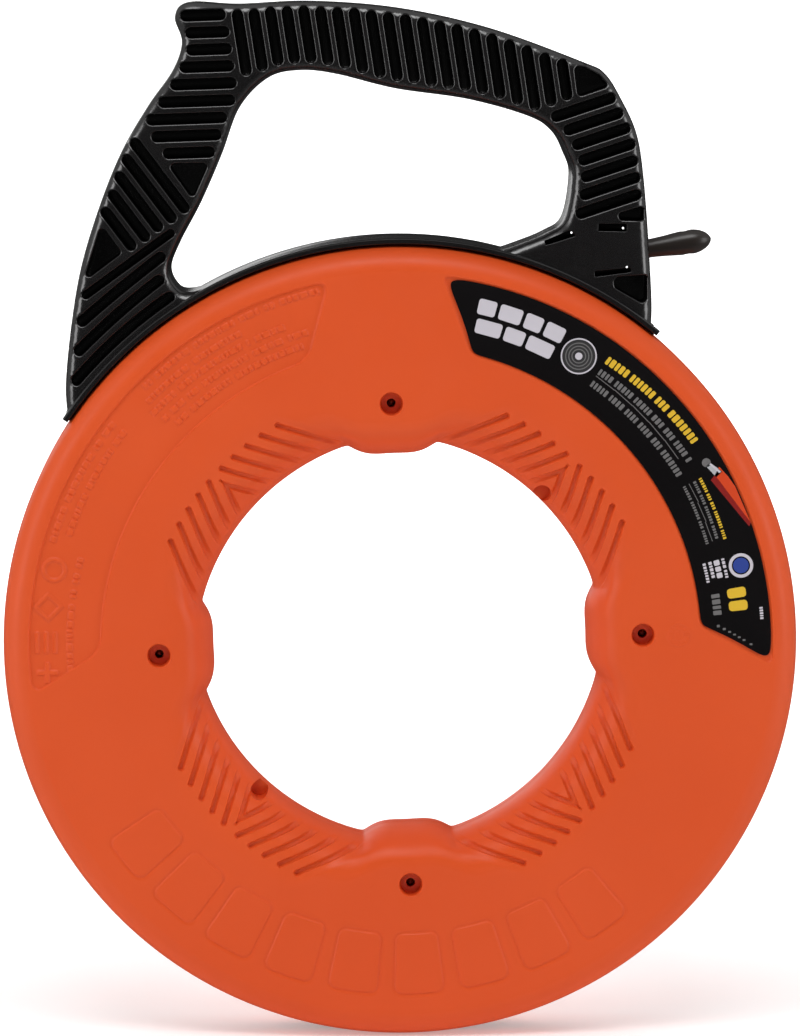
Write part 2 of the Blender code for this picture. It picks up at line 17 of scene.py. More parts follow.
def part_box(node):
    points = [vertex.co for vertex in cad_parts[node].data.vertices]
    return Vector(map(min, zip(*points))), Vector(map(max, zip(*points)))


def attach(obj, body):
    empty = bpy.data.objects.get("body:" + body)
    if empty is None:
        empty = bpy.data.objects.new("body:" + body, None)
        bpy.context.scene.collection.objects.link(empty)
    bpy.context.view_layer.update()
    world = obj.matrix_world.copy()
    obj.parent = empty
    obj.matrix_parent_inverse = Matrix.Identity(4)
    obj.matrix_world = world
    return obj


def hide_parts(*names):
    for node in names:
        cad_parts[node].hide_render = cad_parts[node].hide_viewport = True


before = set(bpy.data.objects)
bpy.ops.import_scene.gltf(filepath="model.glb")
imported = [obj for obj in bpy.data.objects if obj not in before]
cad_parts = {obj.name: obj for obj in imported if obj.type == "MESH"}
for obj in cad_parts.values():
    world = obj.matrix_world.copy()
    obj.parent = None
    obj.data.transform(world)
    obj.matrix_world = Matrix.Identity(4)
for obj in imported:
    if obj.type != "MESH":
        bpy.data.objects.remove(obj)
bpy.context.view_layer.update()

MM = 0.001
CASE_LOW, CASE_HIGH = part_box("front_shell")
RIM_R = (CASE_HIGH.x - CASE_LOW.x) / 2 / MM
CENTRE_Z = (CASE_LOW.z + CASE_HIGH.z) / 2
CASE_HALF = -CASE_LOW.y / MM
FACE = CASE_HALF - 0.2

# Case
TURN = 2.3
WALL = 2.5
SLOT_HALF = 8.0
PARTING_GAP = 0.15
HOLE_R, HOLE_FLATNESS = 76.3, 1.5
LOBE_R, LOBE_HALF, LOBE_POWER = 72.1, 12.6, 3.5
EDGE_SOFTNESS, FLARE_SOFTNESS = 0.16, 1.2
FLARE_WIDTH, FLARE_WIDTH_LOST_ON_LOBE = 18.0, 4.5
FACE_OUTER_R = 143.5
SCREW_CIRCLE_R = 92.7
PEG_CIRCLE_R, PEG_FROM_LOBE_DEG = 79.0, 44.2
PEG_WALL_EXTRA, PEG_WALL_HALF = 6.5, 6.0
FRONT_RECESS_DEPTH, REAR_RECESS_DEPTH = 6.0, 9.0
RELIEF_FROM_R, RELIEF_FADE = 77.0, 3.0
LABEL_R = (115.0, 141.8)
LABEL_OUTER_SPAN = (-5.0, 80.9)
LABEL_INNER_SPAN = (1.5, 74.0)
LABEL_RECESS_DEPTH, PANEL_DEPTH, REAR_PANEL_DEPTH = 1.0, 0.9, 0.45
DASH_HEIGHT, MARK_HEIGHT, PAD_HEIGHT, DIAL_HEIGHT = 0.5, 0.6, 0.2, 0.2
DIAL_AT = (106.4, 2.1)

# Handle
GRIP_HALF = 17.5
GRIP_ROUNDING = 4.6
WEB_HALF = 1.5
BAND_R = (153.2, 155.2)
BAND_HALF = 18.5
BAND_SPAN = (50.4, 146.2)
FOOT_R = 154.2

# Tape
TAPE_R = 2.4
COIL_OUTER_R = 130.8
LEAD_TILT = 9.0
LEAD_LENGTH, LEAD_SEGMENTS = 95.0, 8
LEAD_GROOVE_DEPTH = 0.22
CROSS_FROM = 0.86
TURN_THINNING = 0.985


# ---------------------------------------------------------------- geometry

def on_circle(radius, degrees):
    """The (x, z) point at a radius and an angle."""
    angle = math.radians(degrees)
    return radius * math.cos(angle), radius * math.sin(angle)


def polar(x, z):
    """Arrays of points as radii and angles."""
    return np.hypot(x, z), np.degrees(np.arctan2(z, x))


def soft_step(value, width):
    """0 below, 1 above, with a smooth change of the given width about 0."""
    share = np.clip(value / width + 0.5, 0.0, 1.0)
    return share * share * (3.0 - 2.0 * share)


def smooth_rows(rows, steps):
    """Catmull-Rom rows between the second and the last but one row given."""
    rows = np.asarray(rows, float)
    made = []
    for k in range(1, len(rows) - 2):
        before, start, end, after = rows[k - 1:k + 3]
        for step in range(steps):
            t = step / steps
            made.append(0.5 * (
                2 * start
                + (end - before) * t
                + (2 * before - 5 * start + 4 * end - after) * t * t
                + (3 * start - before - 3 * end + after) * t ** 3
            ))
    made.append(rows[-2])
    return np.array(made)


def smooth_path(points, steps):
    """A Catmull-Rom curve through points; a repeated point makes a corner."""
    path = []
    for k in range(len(points) - 1):
        if points[k] == points[k + 1]:
            continue
        guides = [points[max(k - 1, 0)], points[k], points[k + 1], points[min(k + 2, len(points) - 1)]]
        path += [tuple(row) for row in smooth_rows(guides, steps)[:-1]]
    path.append(tuple(points[-1]))
    return path


def add_object(name, data):
    """A new object in the scene."""
    made = bpy.data.objects.new(name, data)
    bpy.context.scene.collection.objects.link(made)
    return made


def make_piece(name, points, faces, materials):
    """A mesh object of points in millimetres about the case's centre."""
    points = np.asarray(points, float) * MM
    points[:, 2] += CENTRE_Z
    mesh = bpy.data.meshes.new(name)
    mesh.from_pydata(points.tolist(), [], [list(map(int, face)) for face in faces])
    made = add_object(name, mesh)
    for material in materials:
        mesh.materials.append(material)
    finish_mesh(made)
    return made


def finish_mesh(piece, sharp=35.0):
    """Faces out, smooth shading, and sharp edges past the given angle."""
    shape = bmesh.new()
    shape.from_mesh(piece.data)
    bmesh.ops.recalc_face_normals(shape, faces=shape.faces)
    shape.to_mesh(piece.data)
    shape.free()
    piece.data.shade_smooth()
    piece.data.set_sharp_from_angle(angle=math.radians(sharp))


def grid_faces(rows, columns, close_rows=False, close_columns=True):
    """Quads of a grid whose point (i, j) has number i * columns + j."""
    i = np.arange(rows if close_rows else rows - 1)[:, None]
    j = np.arange(columns if close_columns else columns - 1)[None, :]
    low, high = i * columns, (i + 1) % rows * columns
    left, right = j, (j + 1) % columns
    corners = [low + left, low + right, high + right, high + left]
    return np.stack([np.broadcast_to(c, (i.size, j.size)) for c in corners], -1).reshape(-1, 4)


def capped_faces(rows, columns):
    """The faces of a grid that is a tube, with a cap at each end."""
    faces = grid_faces(rows, columns).tolist()
    faces.append(list(range(columns)))
    faces.append([(rows - 1) * columns + k for k in range(columns)])
    return faces


def lathe(origin, direction, stations, sides):
    """Points and faces of a solid turned about an axis, through (distance, radius) stations."""
    axis = Vector(direction).normalized()
    side = axis.orthogonal().normalized()
    up = axis.cross(side)
    points = []
    for distance, radius in stations:
        for k in range(sides):
            angle = 2 * math.pi * k / sides
            offset = side * math.cos(angle) * radius + up * math.sin(angle) * radius
            points.append(tuple(Vector(origin) + axis * distance + offset))
    return points, capped_faces(len(stations), sides)


def joined(*solids):
    """Several solids' points and faces as one."""
    points, faces = [], []
    for solid_points, solid_faces in solids:
        start = len(points)
        points += [tuple(point) for point in solid_points]
        faces += [[start + i for i in face] for face in solid_faces]
    return points, faces


def combine(piece, operation, solid):
    """Unites a piece with a closed solid, or cuts the solid out of it."""
    tool = make_piece(piece.name + "_tool", *solid, [])
    modifier = piece.modifiers.new(operation, "BOOLEAN")
    modifier.operation = operation
    modifier.solver = "MANIFOLD"
    modifier.object = tool
    depsgraph = bpy.context.evaluated_depsgraph_get()
    shaped = bpy.data.meshes.new_from_object(piece.evaluated_get(depsgraph))
    piece.modifiers.clear()
    piece.data = shaped
    bpy.data.objects.remove(tool)


def place(piece, body, nodes=()):
    """Puts a piece on its body, in place of the CAD nodes named."""
    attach(piece, body)
    if nodes:
        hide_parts(*nodes)


# ---------------------------------------------------------------- materials

def new_material(name):
    """A material with its node tree and its shader node."""
    material = bpy.data.materials.new(name)
    material.use_nodes = True
    return material, material.node_tree, material.node_tree.nodes["Principled BSDF"]


def noise_texture(tree, scale, detail=3.0, roughness=0.55):
    """A noise that sticks to the piece; scale is in turns per metre."""
    place_node = tree.nodes.new("ShaderNodeTexCoord")
    noise = tree.nodes.new("ShaderNodeTexNoise")
    noise.inputs["Scale"].default_value = scale
    noise.inputs["Detail"].default_value = detail
    noise.inputs["Roughness"].default_value = roughness
    tree.links.new(place_node.outputs["Object"], noise.inputs["Vector"])
    return noise.outputs["Fac"]


def coordinates(tree, space):
    """The x, y and z of a place on a piece, or of a heading in the world."""
    place_node = tree.nodes.new("ShaderNodeTexCoord")
    parts = tree.nodes.new("ShaderNodeSeparateXYZ")
    tree.links.new(place_node.outputs[space], parts.inputs["Vector"])
    return parts.outputs


def worked_out(tree, operation, *values):
    """The result of a sum on one or two values."""
    node = tree.nodes.new("ShaderNodeMath")
    node.operation = operation
    for value, socket in zip(values, node.inputs):
        tree.links.new(value, socket)
    return node.outputs[0]


def ranged(tree, value, low, high, in_low=0.3, in_high=0.7):
    """A value spread from low to high."""
    spread = tree.nodes.new("ShaderNodeMapRange")
    spread.inputs["From Min"].default_value = in_low
    spread.inputs["From Max"].default_value = in_high
    spread.inputs["To Min"].default_value = low
    spread.inputs["To Max"].default_value = high
    tree.links.new(value, spread.inputs["Value"])
    return spread.outputs["Result"]


def mixed_colour(tree, factor, first, second):
    """A blend of two colours by a factor."""
    mix = tree.nodes.new("ShaderNodeMix")
    mix.data_type = "RGBA"
    mix.inputs["A"].default_value = (*first, 1.0)
    mix.inputs["B"].default_value = (*second, 1.0)
    tree.links.new(factor, mix.inputs["Factor"])
    return mix.outputs["Result"]


def add_bump(tree, shader, height, strength, distance):
    """Fine relief in the shading only, from a height between 0 and 1."""
    bump = tree.nodes.new("ShaderNodeBump")
    bump.inputs["Strength"].default_value = strength
    bump.inputs["Distance"].default_value = distance
    tree.links.new(height, bump.inputs["Height"])
    tree.links.new(bump.outputs["Normal"], shader.inputs["Normal"])


def moulded(name, colours, roughness, grain, specular=0.5, metallic=0.0):
    """A moulded or cast surface: slow colour drift, uneven gloss and a fine grain.

    colours are its two extremes, roughness its lowest and highest value, and
    grain is (scale per metre, bump strength, bump depth in metres).
    """
    material, tree, shader = new_material(name)
    drift = noise_texture(tree, 14.0, 2.0)
    tree.links.new(mixed_colour(tree, ranged(tree, drift, 0.0, 1.0), *colours), shader.inputs["Base Color"])
    patches = noise_texture(tree, 90.0, 4.0)
    tree.links.new(ranged(tree, patches, *roughness), shader.inputs["Roughness"])
    add_bump(tree, shader, noise_texture(tree, grain[0], 2.0), grain[1], grain[2])
    shader.inputs["Specular IOR Level"].default_value = specular
    shader.inputs["Metallic"].default_value = metallic
    return material


def make_materials():
    """Every material but the floor's, by a short name."""
    made = {
        "orange": moulded(
            "orange_plastic", ((0.690, 0.078, 0.012), (0.720, 0.086, 0.015)), (0.40, 0.50),
            (2600.0, 0.10, 0.00008), 0.30,
        ),
        "black": moulded(
            "handle_plastic", ((0.0065, 0.0060, 0.0062), (0.0090, 0.0084, 0.0086)), (0.19, 0.26),
            (1800.0, 0.10, 0.00008), 1.0,
        ),
        "label": moulded(
            "label_film", ((0.0050, 0.0042, 0.0046), (0.0062, 0.0054, 0.0058)), (0.34, 0.40),
            (900.0, 0.03, 0.00004), 0.10,
        ),
        "tape": moulded(
            "tape_fibreglass", ((0.66, 0.12, 0.018), (0.74, 0.17, 0.026)), (0.26, 0.36),
            (1500.0, 0.15, 0.0001),
        ),
        "tip": moulded(
            "tip_nylon", ((0.016, 0.012, 0.010), (0.026, 0.019, 0.016)), (0.28, 0.38),
            (1400.0, 0.15, 0.0001), 0.5,
        ),
        "steel": moulded(
            "screw_steel", ((0.36, 0.34, 0.32), (0.46, 0.44, 0.42)), (0.28, 0.42),
            (2400.0, 0.10, 0.00005), 0.5, 1.0,
        ),
        "ferrule": moulded(
            "ferrule_metal", ((0.50, 0.49, 0.46), (0.60, 0.58, 0.55)), (0.22, 0.32),
            (2400.0, 0.08, 0.00005), 0.5, 1.0,
        ),
        "zinc": moulded(
            "clip_zinc", ((0.50, 0.51, 0.52), (0.60, 0.60, 0.60)), (0.35, 0.50),
            (1200.0, 0.25, 0.0001), 0.5, 1.0,
        ),
    }
    inks = {
        "ink_white": (0.58, 0.55, 0.60),
        "ink_grey": (0.16, 0.155, 0.155),
        "ink_dark": (0.035, 0.034, 0.035),
        "ink_yellow": (0.72, 0.46, 0.03),
        "ink_orange": (0.66, 0.060, 0.012),
        "ink_red": (0.26, 0.012, 0.010),
        "ink_blue": (0.03, 0.06, 0.30),
        "ink_silver": (0.45, 0.46, 0.48),
    }
    for name, colour in inks.items():
        darker = tuple(0.93 * channel for channel in colour)
        made[name] = moulded(name, (darker, colour), (0.32, 0.40), (900.0, 0.03, 0.00004), 0.3)
    return made


# ---------------------------------------------------------------- case

def hub_shape(degrees, softness):
    """The hole's radius at an angle, and how far that is on a lobe, from 0 to 1.

    A larger softness makes the lobes run out more gently at their sides.
    """
    offset = np.abs((degrees - TURN + 45.0) % 90.0 - 45.0)
    from_middle = (45.0 - np.maximum(offset, LOBE_HALF)) / (45.0 - LOBE_HALF)
    between = HOLE_R + HOLE_FLATNESS * from_middle ** 2
    lobe = 1.0 - (offset / LOBE_HALF) ** LOBE_POWER
    lobe = (lobe + np.sqrt(lobe ** 2 + softness ** 2)) / (1.0 + math.sqrt(1.0 + softness ** 2))
    return between + (LOBE_R - between) * lobe, lobe


def shell_stations():
    """Rows (hub share, flare share, fixed radius, depth) round a shell's section.

    The first rows are its outside, from the parting line in the hole to the
    slot in the rim, and the rest are its inside on the way back.
    """
    hub = smooth_rows([
        (1, -0.02, 0, -8.0), (1, 0.0, 0, PARTING_GAP), (1, 0.02, 0, 8.0), (1, 0.16, 0, 15.5),
        (1, 0.40, 0, 21.5), (1, 0.68, 0, 24.8), (1, 1.0, 0, FACE), (1, 1.5, 0, FACE),
    ], 12)
    flat_start = 100.0
    shares = np.linspace(0.0, 1.0, 17)[1:-1, None]
    lead_in = np.hstack([1 - shares, 1 - shares, shares * flat_start, np.full_like(shares, FACE)])
    radii = np.arange(flat_start, FACE_OUTER_R - 0.2, 0.38)[:, None]
    flat = np.hstack([radii * 0, radii * 0, radii, radii * 0 + FACE])
    rim = smooth_rows([
        (0, 0, 139.0, FACE), (0, 0, FACE_OUTER_R, FACE), (0, 0, 147.6, FACE - 1.4), (0, 0, 150.7, FACE - 4.8),
        (0, 0, 152.1, FACE - 9.2), (0, 0, RIM_R, 13.0), (0, 0, RIM_R, SLOT_HALF + 0.4), (0, 0, RIM_R, 4.0),
    ], 6)
    lip = [(0, 0, RIM_R - 0.12, SLOT_HALF + 0.1), (0, 0, RIM_R - 0.4, SLOT_HALF)]
    inside = [
        (0, 0, RIM_R - WALL, SLOT_HALF), (0, 0, RIM_R - WALL, 13.0), (0, 0, 149.6, FACE - 9.6),
        (0, 0, 148.5, FACE - 6.4), (0, 0, 146.2, FACE - 3.8), (0, 0, 143.2, FACE - WALL),
        (1, 1.0, 0, FACE - WALL), (1, 0.40, 1.9, 19.8), (1, 0.16, 2.4, 14.7), (1, 0.02, WALL, 8.0),
        (1, 0.0, WALL, PARTING_GAP),
    ]
    outside = np.vstack([hub, lead_in, flat, rim, lip])
    return np.vstack([outside, inside]), len(outside)


def rounded_inside(distances, corner):
    """Distance inside a shape with rounded corners, from the distances inside its edges."""
    cut = [np.maximum(corner - distance, 0.0) ** 2 for distance in distances]
    return corner - np.sqrt(sum(cut))


def label_inside(x, z, mirrored=False, margin=0.0, corner=2.5):
    """Distance inside the label's outline, or inside its mirror image."""
    radius, degrees = polar(x, z)
    degrees -= TURN
    if mirrored:
        degrees = 180.0 - degrees % 360.0
    px, pz = radius * np.cos(np.radians(degrees)), radius * np.sin(np.radians(degrees))
    distances = [LABEL_R[1] + margin - radius, radius - LABEL_R[0] + margin]
    for way, inner_deg, outer_deg in zip((1, -1), LABEL_INNER_SPAN, LABEL_OUTER_SPAN):
        ix, iz = on_circle(LABEL_R[0], inner_deg)
        ox, oz = on_circle(LABEL_R[1], outer_deg)
        length = math.hypot(ox - ix, oz - iz)
        across = ((ox - ix) * (pz - iz) - (oz - iz) * (px - ix)) / length
        distances.append(way * across + margin)
    return rounded_inside(distances, corner)


GROOVE_HEADING = 21.0
GROOVE_FIRST, GROOVE_PITCH, GROOVE_COUNT = 36.9, 5.6, 6
GROOVE_HALF_WIDTH = 1.05
GROOVE_DEPTH = 1.95
GROOVE_OUTER_R = 97.4
HOLLOW_LIMIT, HOLLOW_DEPTH = 67.8, 0.55


def groove_depth(x, z):
    """The grip grooves: four chevron groups in shallow hollows between the lobes."""
    radius = np.hypot(x, z)
    depth = np.zeros_like(x)
    fade = soft_step(radius - 79.8, 4.5)
    heading = math.radians(GROOVE_HEADING)
    for quarter in range(4):
        turn = math.radians(90.0 * quarter + TURN)
        right = x * math.cos(turn) + z * math.sin(turn)
        up = -x * math.sin(turn) + z * math.cos(turn)
        hollow = soft_step(radius - 79.0, 4.0) * soft_step(98.0 - radius, 10.0)
        hollow = hollow * ((right > 0) & (up > 0))
        for u, v in ((right, up), (up, right)):
            along = u * math.cos(heading) + v * math.sin(heading)
            aside = v * math.cos(heading) - u * math.sin(heading)
            hollow = hollow * soft_step(HOLLOW_LIMIT - aside, 3.2)
            for k in range(GROOVE_COUNT):
                middle = GROOVE_FIRST + GROOVE_PITCH * k
                end = math.sqrt(GROOVE_OUTER_R ** 2 - middle ** 2)
                inside = rounded_inside(
                    [GROOVE_HALF_WIDTH - np.abs(aside - middle), end - along], GROOVE_HALF_WIDTH * 0.8)
                inside = np.minimum(inside, (v - u) * 0.71 + 0.4)
                groove = GROOVE_DEPTH * fade * (along > 0) * soft_step(inside, 0.8)
                depth = np.maximum(depth, groove)
        depth = np.maximum(depth, HOLLOW_DEPTH * hollow)
    return depth


ROW_HEIGHT = 2.3
PANEL_ROWS = (
    (139.2, 103.0, 134.0), (134.3, 117.0, 136.0), (129.8, 110.0, 137.0), (125.2, 106.5, 137.0),
    (120.7, 108.0, 134.0), (138.8, 142.0, 163.0), (133.6, 142.0, 161.0), (126.7, 164.5, 184.0),
)


def dash_rows(x, z):
    """Rows of small plain dashes of uneven length, where such a panel has its small print."""
    radius, degrees = polar(x, z)
    degrees %= 360.0
    random = np.random.RandomState(7)
    height = np.zeros_like(x)
    for row_radius, low, high in PANEL_ROWS:
        along = (degrees - low) * math.radians(row_radius)
        travel, end = 0.0, (high - low) * math.radians(row_radius)
        while travel < end:
            length = 0.9 + 2.2 * random.rand()
            inside = rounded_inside([
                length / 2 - np.abs(along - travel - length / 2),
                ROW_HEIGHT / 2 - np.abs(radius - row_radius),
            ], 0.5)
            height = np.maximum(height, soft_step(inside, 0.5))
            travel += length + (0.7 if random.rand() < 0.8 else 2.4)
    return height


def panel_marks(x, z):
    """Four plain marks at the panel's lower end: a ring, a diamond, three bars and a cross."""
    height = np.zeros_like(x)
    for k, degrees in enumerate((167.5, 173.6, 179.4, 184.3)):
        cx, cz = on_circle(135.6, degrees)
        u, v = x - cx, z - cz
        if k == 0:
            inside = 0.7 - np.abs(np.hypot(u, v) - 4.0)
        elif k == 1:
            inside = 0.7 - np.abs(np.abs(u) + np.abs(v) - 4.8) * 0.71
        elif k == 2:
            inside = np.minimum(4.2 - np.abs(v), 0.65 - np.abs((u + 5.1) % 3.4 - 1.7))
            inside = np.minimum(inside, 5.0 - np.abs(u))
        else:
            inside = np.maximum(
                np.minimum(4.0 - np.abs(u), 0.9 - np.abs(v)), np.minimum(4.0 - np.abs(v), 0.9 - np.abs(u)))
        height = np.maximum(height, soft_step(inside, 0.6))
    return height


LOWER_PAD_COUNT, LOWER_PAD_SPAN = 9, (218.0, 306.0)
LOWER_PAD_R = (112.0, 135.0)
LOWER_PAD_HALF = 8.6


def lower_pads(x, z):
    """A row of plain pads along the case's foot, each with a fine groove round it."""
    radius, degrees = polar(x, z)
    degrees %= 360.0
    middle_r = sum(LOWER_PAD_R) / 2
    half_height = (LOWER_PAD_R[1] - LOWER_PAD_R[0]) / 2
    height, groove = np.zeros_like(x), np.zeros_like(x)
    for middle in np.linspace(*LOWER_PAD_SPAN, LOWER_PAD_COUNT):
        along = np.abs(degrees - middle) * math.radians(middle_r)
        across = np.abs(radius - middle_r)
        inside = rounded_inside([LOWER_PAD_HALF - along, half_height - across], 3.0)
        height = np.maximum(height, soft_step(inside, 0.6))
        groove = np.maximum(groove, soft_step(0.45 - np.abs(inside + 0.6), 0.5))
    return height - 1.3 * groove


def mould_dial(x, z):
    """The date dial that moulds leave: a ring, ticks and a plain pointer."""
    cx, cz = on_circle(*DIAL_AT)
    u, v = x - cx, z - cz
    distance, degrees = polar(u, v)
    ring = 0.30 - np.abs(distance - 4.4)
    inner = 0.25 - np.abs(distance - 2.0)
    from_tick = np.abs((degrees + 15.0) % 30.0 - 15.0) * 0.055
    tick = np.minimum(0.55 - np.abs(distance - 3.25), 0.3 - from_tick)
    pointer = np.minimum(1.5 - distance, 0.35 - np.abs(u))
    inside = np.maximum(np.maximum(ring, inner), np.maximum(tick, pointer))
    return soft_step(inside, 0.45)


def front_relief(x, z):
    """Depth of the front face's relief, into the case."""
    depth = groove_depth(x, z)
    depth += LABEL_RECESS_DEPTH * soft_step(label_inside(x, z, margin=0.55), 0.7)
    panel = soft_step(label_inside(x, z, mirrored=True, margin=0.3, corner=4.5), 0.6)
    depth += PANEL_DEPTH * panel
    depth -= DASH_HEIGHT * dash_rows(x, z) * panel
    depth -= MARK_HEIGHT * panel_marks(x, z) * panel
    depth -= PAD_HEIGHT * lower_pads(x, z)
    depth -= DIAL_HEIGHT * mould_dial(x, z)
    return depth


def rear_relief(x, z):
    """Depth of the rear face's relief: the grooves, two plain panels and a dial."""
    depth = groove_depth(x, z)
    for mirrored in (True, False):
        panel = soft_step(label_inside(x, z, mirrored=mirrored, margin=0.3, corner=4.5), 0.9)
        depth += REAR_PANEL_DEPTH * panel
    depth -= DIAL_HEIGHT * mould_dial(x, z)
    return depth


def shell_grid(side, relief, columns, peg_angles):
    """A shell's closed surface as a grid round the case's axis.

    The wall is thick behind each peg pocket, which is sunk in the hub's flare.
    """
    stations, outside_count = shell_stations()
    degrees = 360.0 * np.arange(columns) / columns
    edge_hub, _ = hub_shape(degrees, EDGE_SOFTNESS)
    flare_hub, lobe = hub_shape(degrees, FLARE_SOFTNESS)
    hub = edge_hub + (flare_hub - edge_hub) * soft_step(stations[:, 1:2] - 0.3, 0.6)
    spread = FLARE_WIDTH - FLARE_WIDTH_LOST_ON_LOBE * lobe
    radius = stations[:, 0:1] * hub + stations[:, 1:2] * spread + stations[:, 2:3]
    depth = np.repeat(stations[:, 3:4], columns, 1)

    for peg_deg in peg_angles:
        aside = np.abs((degrees - peg_deg + 180.0) % 360.0 - 180.0) * math.radians(PEG_CIRCLE_R)
        flare_wall = (stations[:, 0] == 1) & (stations[:, 1] < 0.9)
        flare_wall[:outside_count] = False
        radius[flare_wall] += PEG_WALL_EXTRA * soft_step(PEG_WALL_HALF - aside, 2.0)

    profile_r = stations[:, 0] * HOLE_R + stations[:, 1] * FLARE_WIDTH + stations[:, 2]
    slope_r = np.gradient(profile_r[:outside_count])
    slope_y = np.gradient(stations[:outside_count, 3])
    length = np.hypot(slope_r, slope_y)
    inward_r, inward_y = slope_y / length, -slope_r / length

    x = radius * np.cos(np.radians(degrees))
    z = radius * np.sin(np.radians(degrees))
    sunk = relief(x[:outside_count], z[:outside_count])
    faded = sunk * np.clip((profile_r[:outside_count, None] - RELIEF_FROM_R) / RELIEF_FADE, 0.0, 1.0)
    radius[:outside_count] += faded * inward_r[:, None]
    depth[:outside_count] += faded * inward_y[:, None]
    x = radius * np.cos(np.radians(degrees))
    z = radius * np.sin(np.radians(degrees))
    points = np.stack([x, side * depth, z], -1).reshape(-1, 3)
    return points, grid_faces(len(stations), columns, close_rows=True)


def rod(centre, stations, sides=48):
    """A bar along Y at (x, z), through (y, radius) stations."""
    start = (centre[0], stations[0][0], centre[1])
    way = 1.0 if stations[-1][0] > stations[0][0] else -1.0
    return lathe(start, (0, way, 0), [(abs(y - stations[0][0]), r) for y, r in stations], sides)


def make_shell(name, side, relief, columns, recess_depth, peg_angles, material):
    """One half of the case: its skin, its screw bosses and the recesses and pockets cut in it."""
    shell = make_piece(name + "_skin", *shell_grid(side, relief, columns, peg_angles), [material])
    bosses, cuts = [], []
    for k in range(4):
        centre = on_circle(SCREW_CIRCLE_R, TURN + 90.0 * k)
        bosses.append(rod(centre, [(side * PARTING_GAP, 5.5), (side * (FACE - 1.2), 5.5)], 32))
        floor = CASE_HALF - recess_depth
        profile = [
            (-1.0, 1.7), (floor, 1.7), (floor, 3.9), (floor + 0.35, 4.2), (FACE - 0.55, 4.35),
            (FACE - 0.2, 4.5), (FACE + 0.02, 4.75), (FACE + 2.0, 4.9),
        ]
        cuts.append(rod(centre, [(side * y, r) for y, r in profile]))
    for degrees in peg_angles:
        cuts.append(rod(on_circle(PEG_CIRCLE_R, degrees), [(side * 6.0, 3.3), (side * 30.0, 3.6)]))
    combine(shell, "UNION", joined(*bosses))
    combine(shell, "DIFFERENCE", joined(*cuts))
    finish_mesh(shell)
    place(shell, "case", [name])


def make_case(materials):
    """Both halves; each has two of the four peg pockets."""
    pegs = [TURN + PEG_FROM_LOBE_DEG + 90.0 * k for k in range(4)]
    make_shell("front_shell", -1, front_relief, 2160, FRONT_RECESS_DEPTH, pegs[0::2], materials["orange"])
    make_shell("rear_shell", 1, rear_relief, 1080, REAR_RECESS_DEPTH, pegs[1::2], materials["orange"])


def make_screws(materials):
    """Self-tapping screws: heads in the rear recesses, points in the front ones."""
    seat = CASE_HALF - REAR_RECESS_DEPTH + 0.3
    thread_from, thread_to, pitch = -15.5, 4.0, 1.3
    for name, degrees in (("right", 0), ("top", 90), ("left", 180), ("bottom", 270)):
        centre = on_circle(SCREW_CIRCLE_R, TURN + degrees)
        profile = [(-19.0, 0.25), (-18.4, 0.75), (-16.6, 1.30)]
        turns = int((thread_to - thread_from) / pitch)
        for k in range(turns):
            y = thread_from + pitch * k
            for share, radius in ((0.0, 1.30), (0.35, 1.68), (0.5, 1.68), (0.85, 1.30)):
                profile.append((y + pitch * share, radius))
        profile += [(thread_to, 1.45), (seat, 1.5), (seat, 3.55), (seat + 0.15, 3.7), (seat + 1.2, 3.6)]
        profile += [(seat + 2.1, 3.0), (seat + 2.55, 2.0), (seat + 2.6, 1.2)]
        screw = make_piece("shell_screw_" + name + "_body", *rod(centre, profile, 40), [materials["steel"]])
        cross = []
        for turn in (0.0, 90.0):
            ax, az = on_circle(1.0, turn + 20.0)
            corners = []
            for y in (seat + 1.1, seat + 3.2):
                for u, v in ((-2.0, -0.45), (2.0, -0.45), (2.0, 0.45), (-2.0, 0.45)):
                    corners.append((centre[0] + ax * u - az * v, y, centre[1] + az * u + ax * v))
            sides = [[0, 1, 2, 3], [4, 5, 6, 7], [0, 1, 5, 4], [1, 2, 6, 5], [2, 3, 7, 6], [3, 0, 4, 7]]
            cross.append((corners, sides))
        for blade in cross:
            combine(screw, "DIFFERENCE", blade)
        finish_mesh(screw, 30.0)
        place(screw, "case", ["shell_screw_" + name])


# ---------------------------------------------------------------- label

LABEL_TOP = FACE - 0.45
LABEL_THICK = 0.5
INK_LIFT = 0.02


def evenly(loop, spacing):
    """A closed loop's points moved to even spacing along it."""
    loop = np.asarray(loop)
    closed = np.vstack([loop, loop[:1]])
    travel = np.concatenate([[0.0], np.cumsum(np.linalg.norm(np.diff(closed, axis=0), axis=1))])
    stops = np.linspace(0.0, travel[-1], int(travel[-1] / spacing), endpoint=False)
    return np.stack([np.interp(stops, travel, closed[:, axis]) for axis in (0, 1)], -1)


def inset_outline(outline, distance):
    """A closed outline moved inwards, or outwards by a negative distance."""
    points = np.array(outline)
    tangent = np.roll(points, -1, 0) - np.roll(points, 1, 0)
    tangent /= np.linalg.norm(tangent, axis=1)[:, None]
    area = np.sum(points[:, 0] * np.roll(points[:, 1], -1) - np.roll(points[:, 0], -1) * points[:, 1])
    normal = np.stack([-tangent[:, 1], tangent[:, 0]], -1) * (1.0 if area > 0 else -1.0)
    return [tuple(point) for point in points + normal * distance]


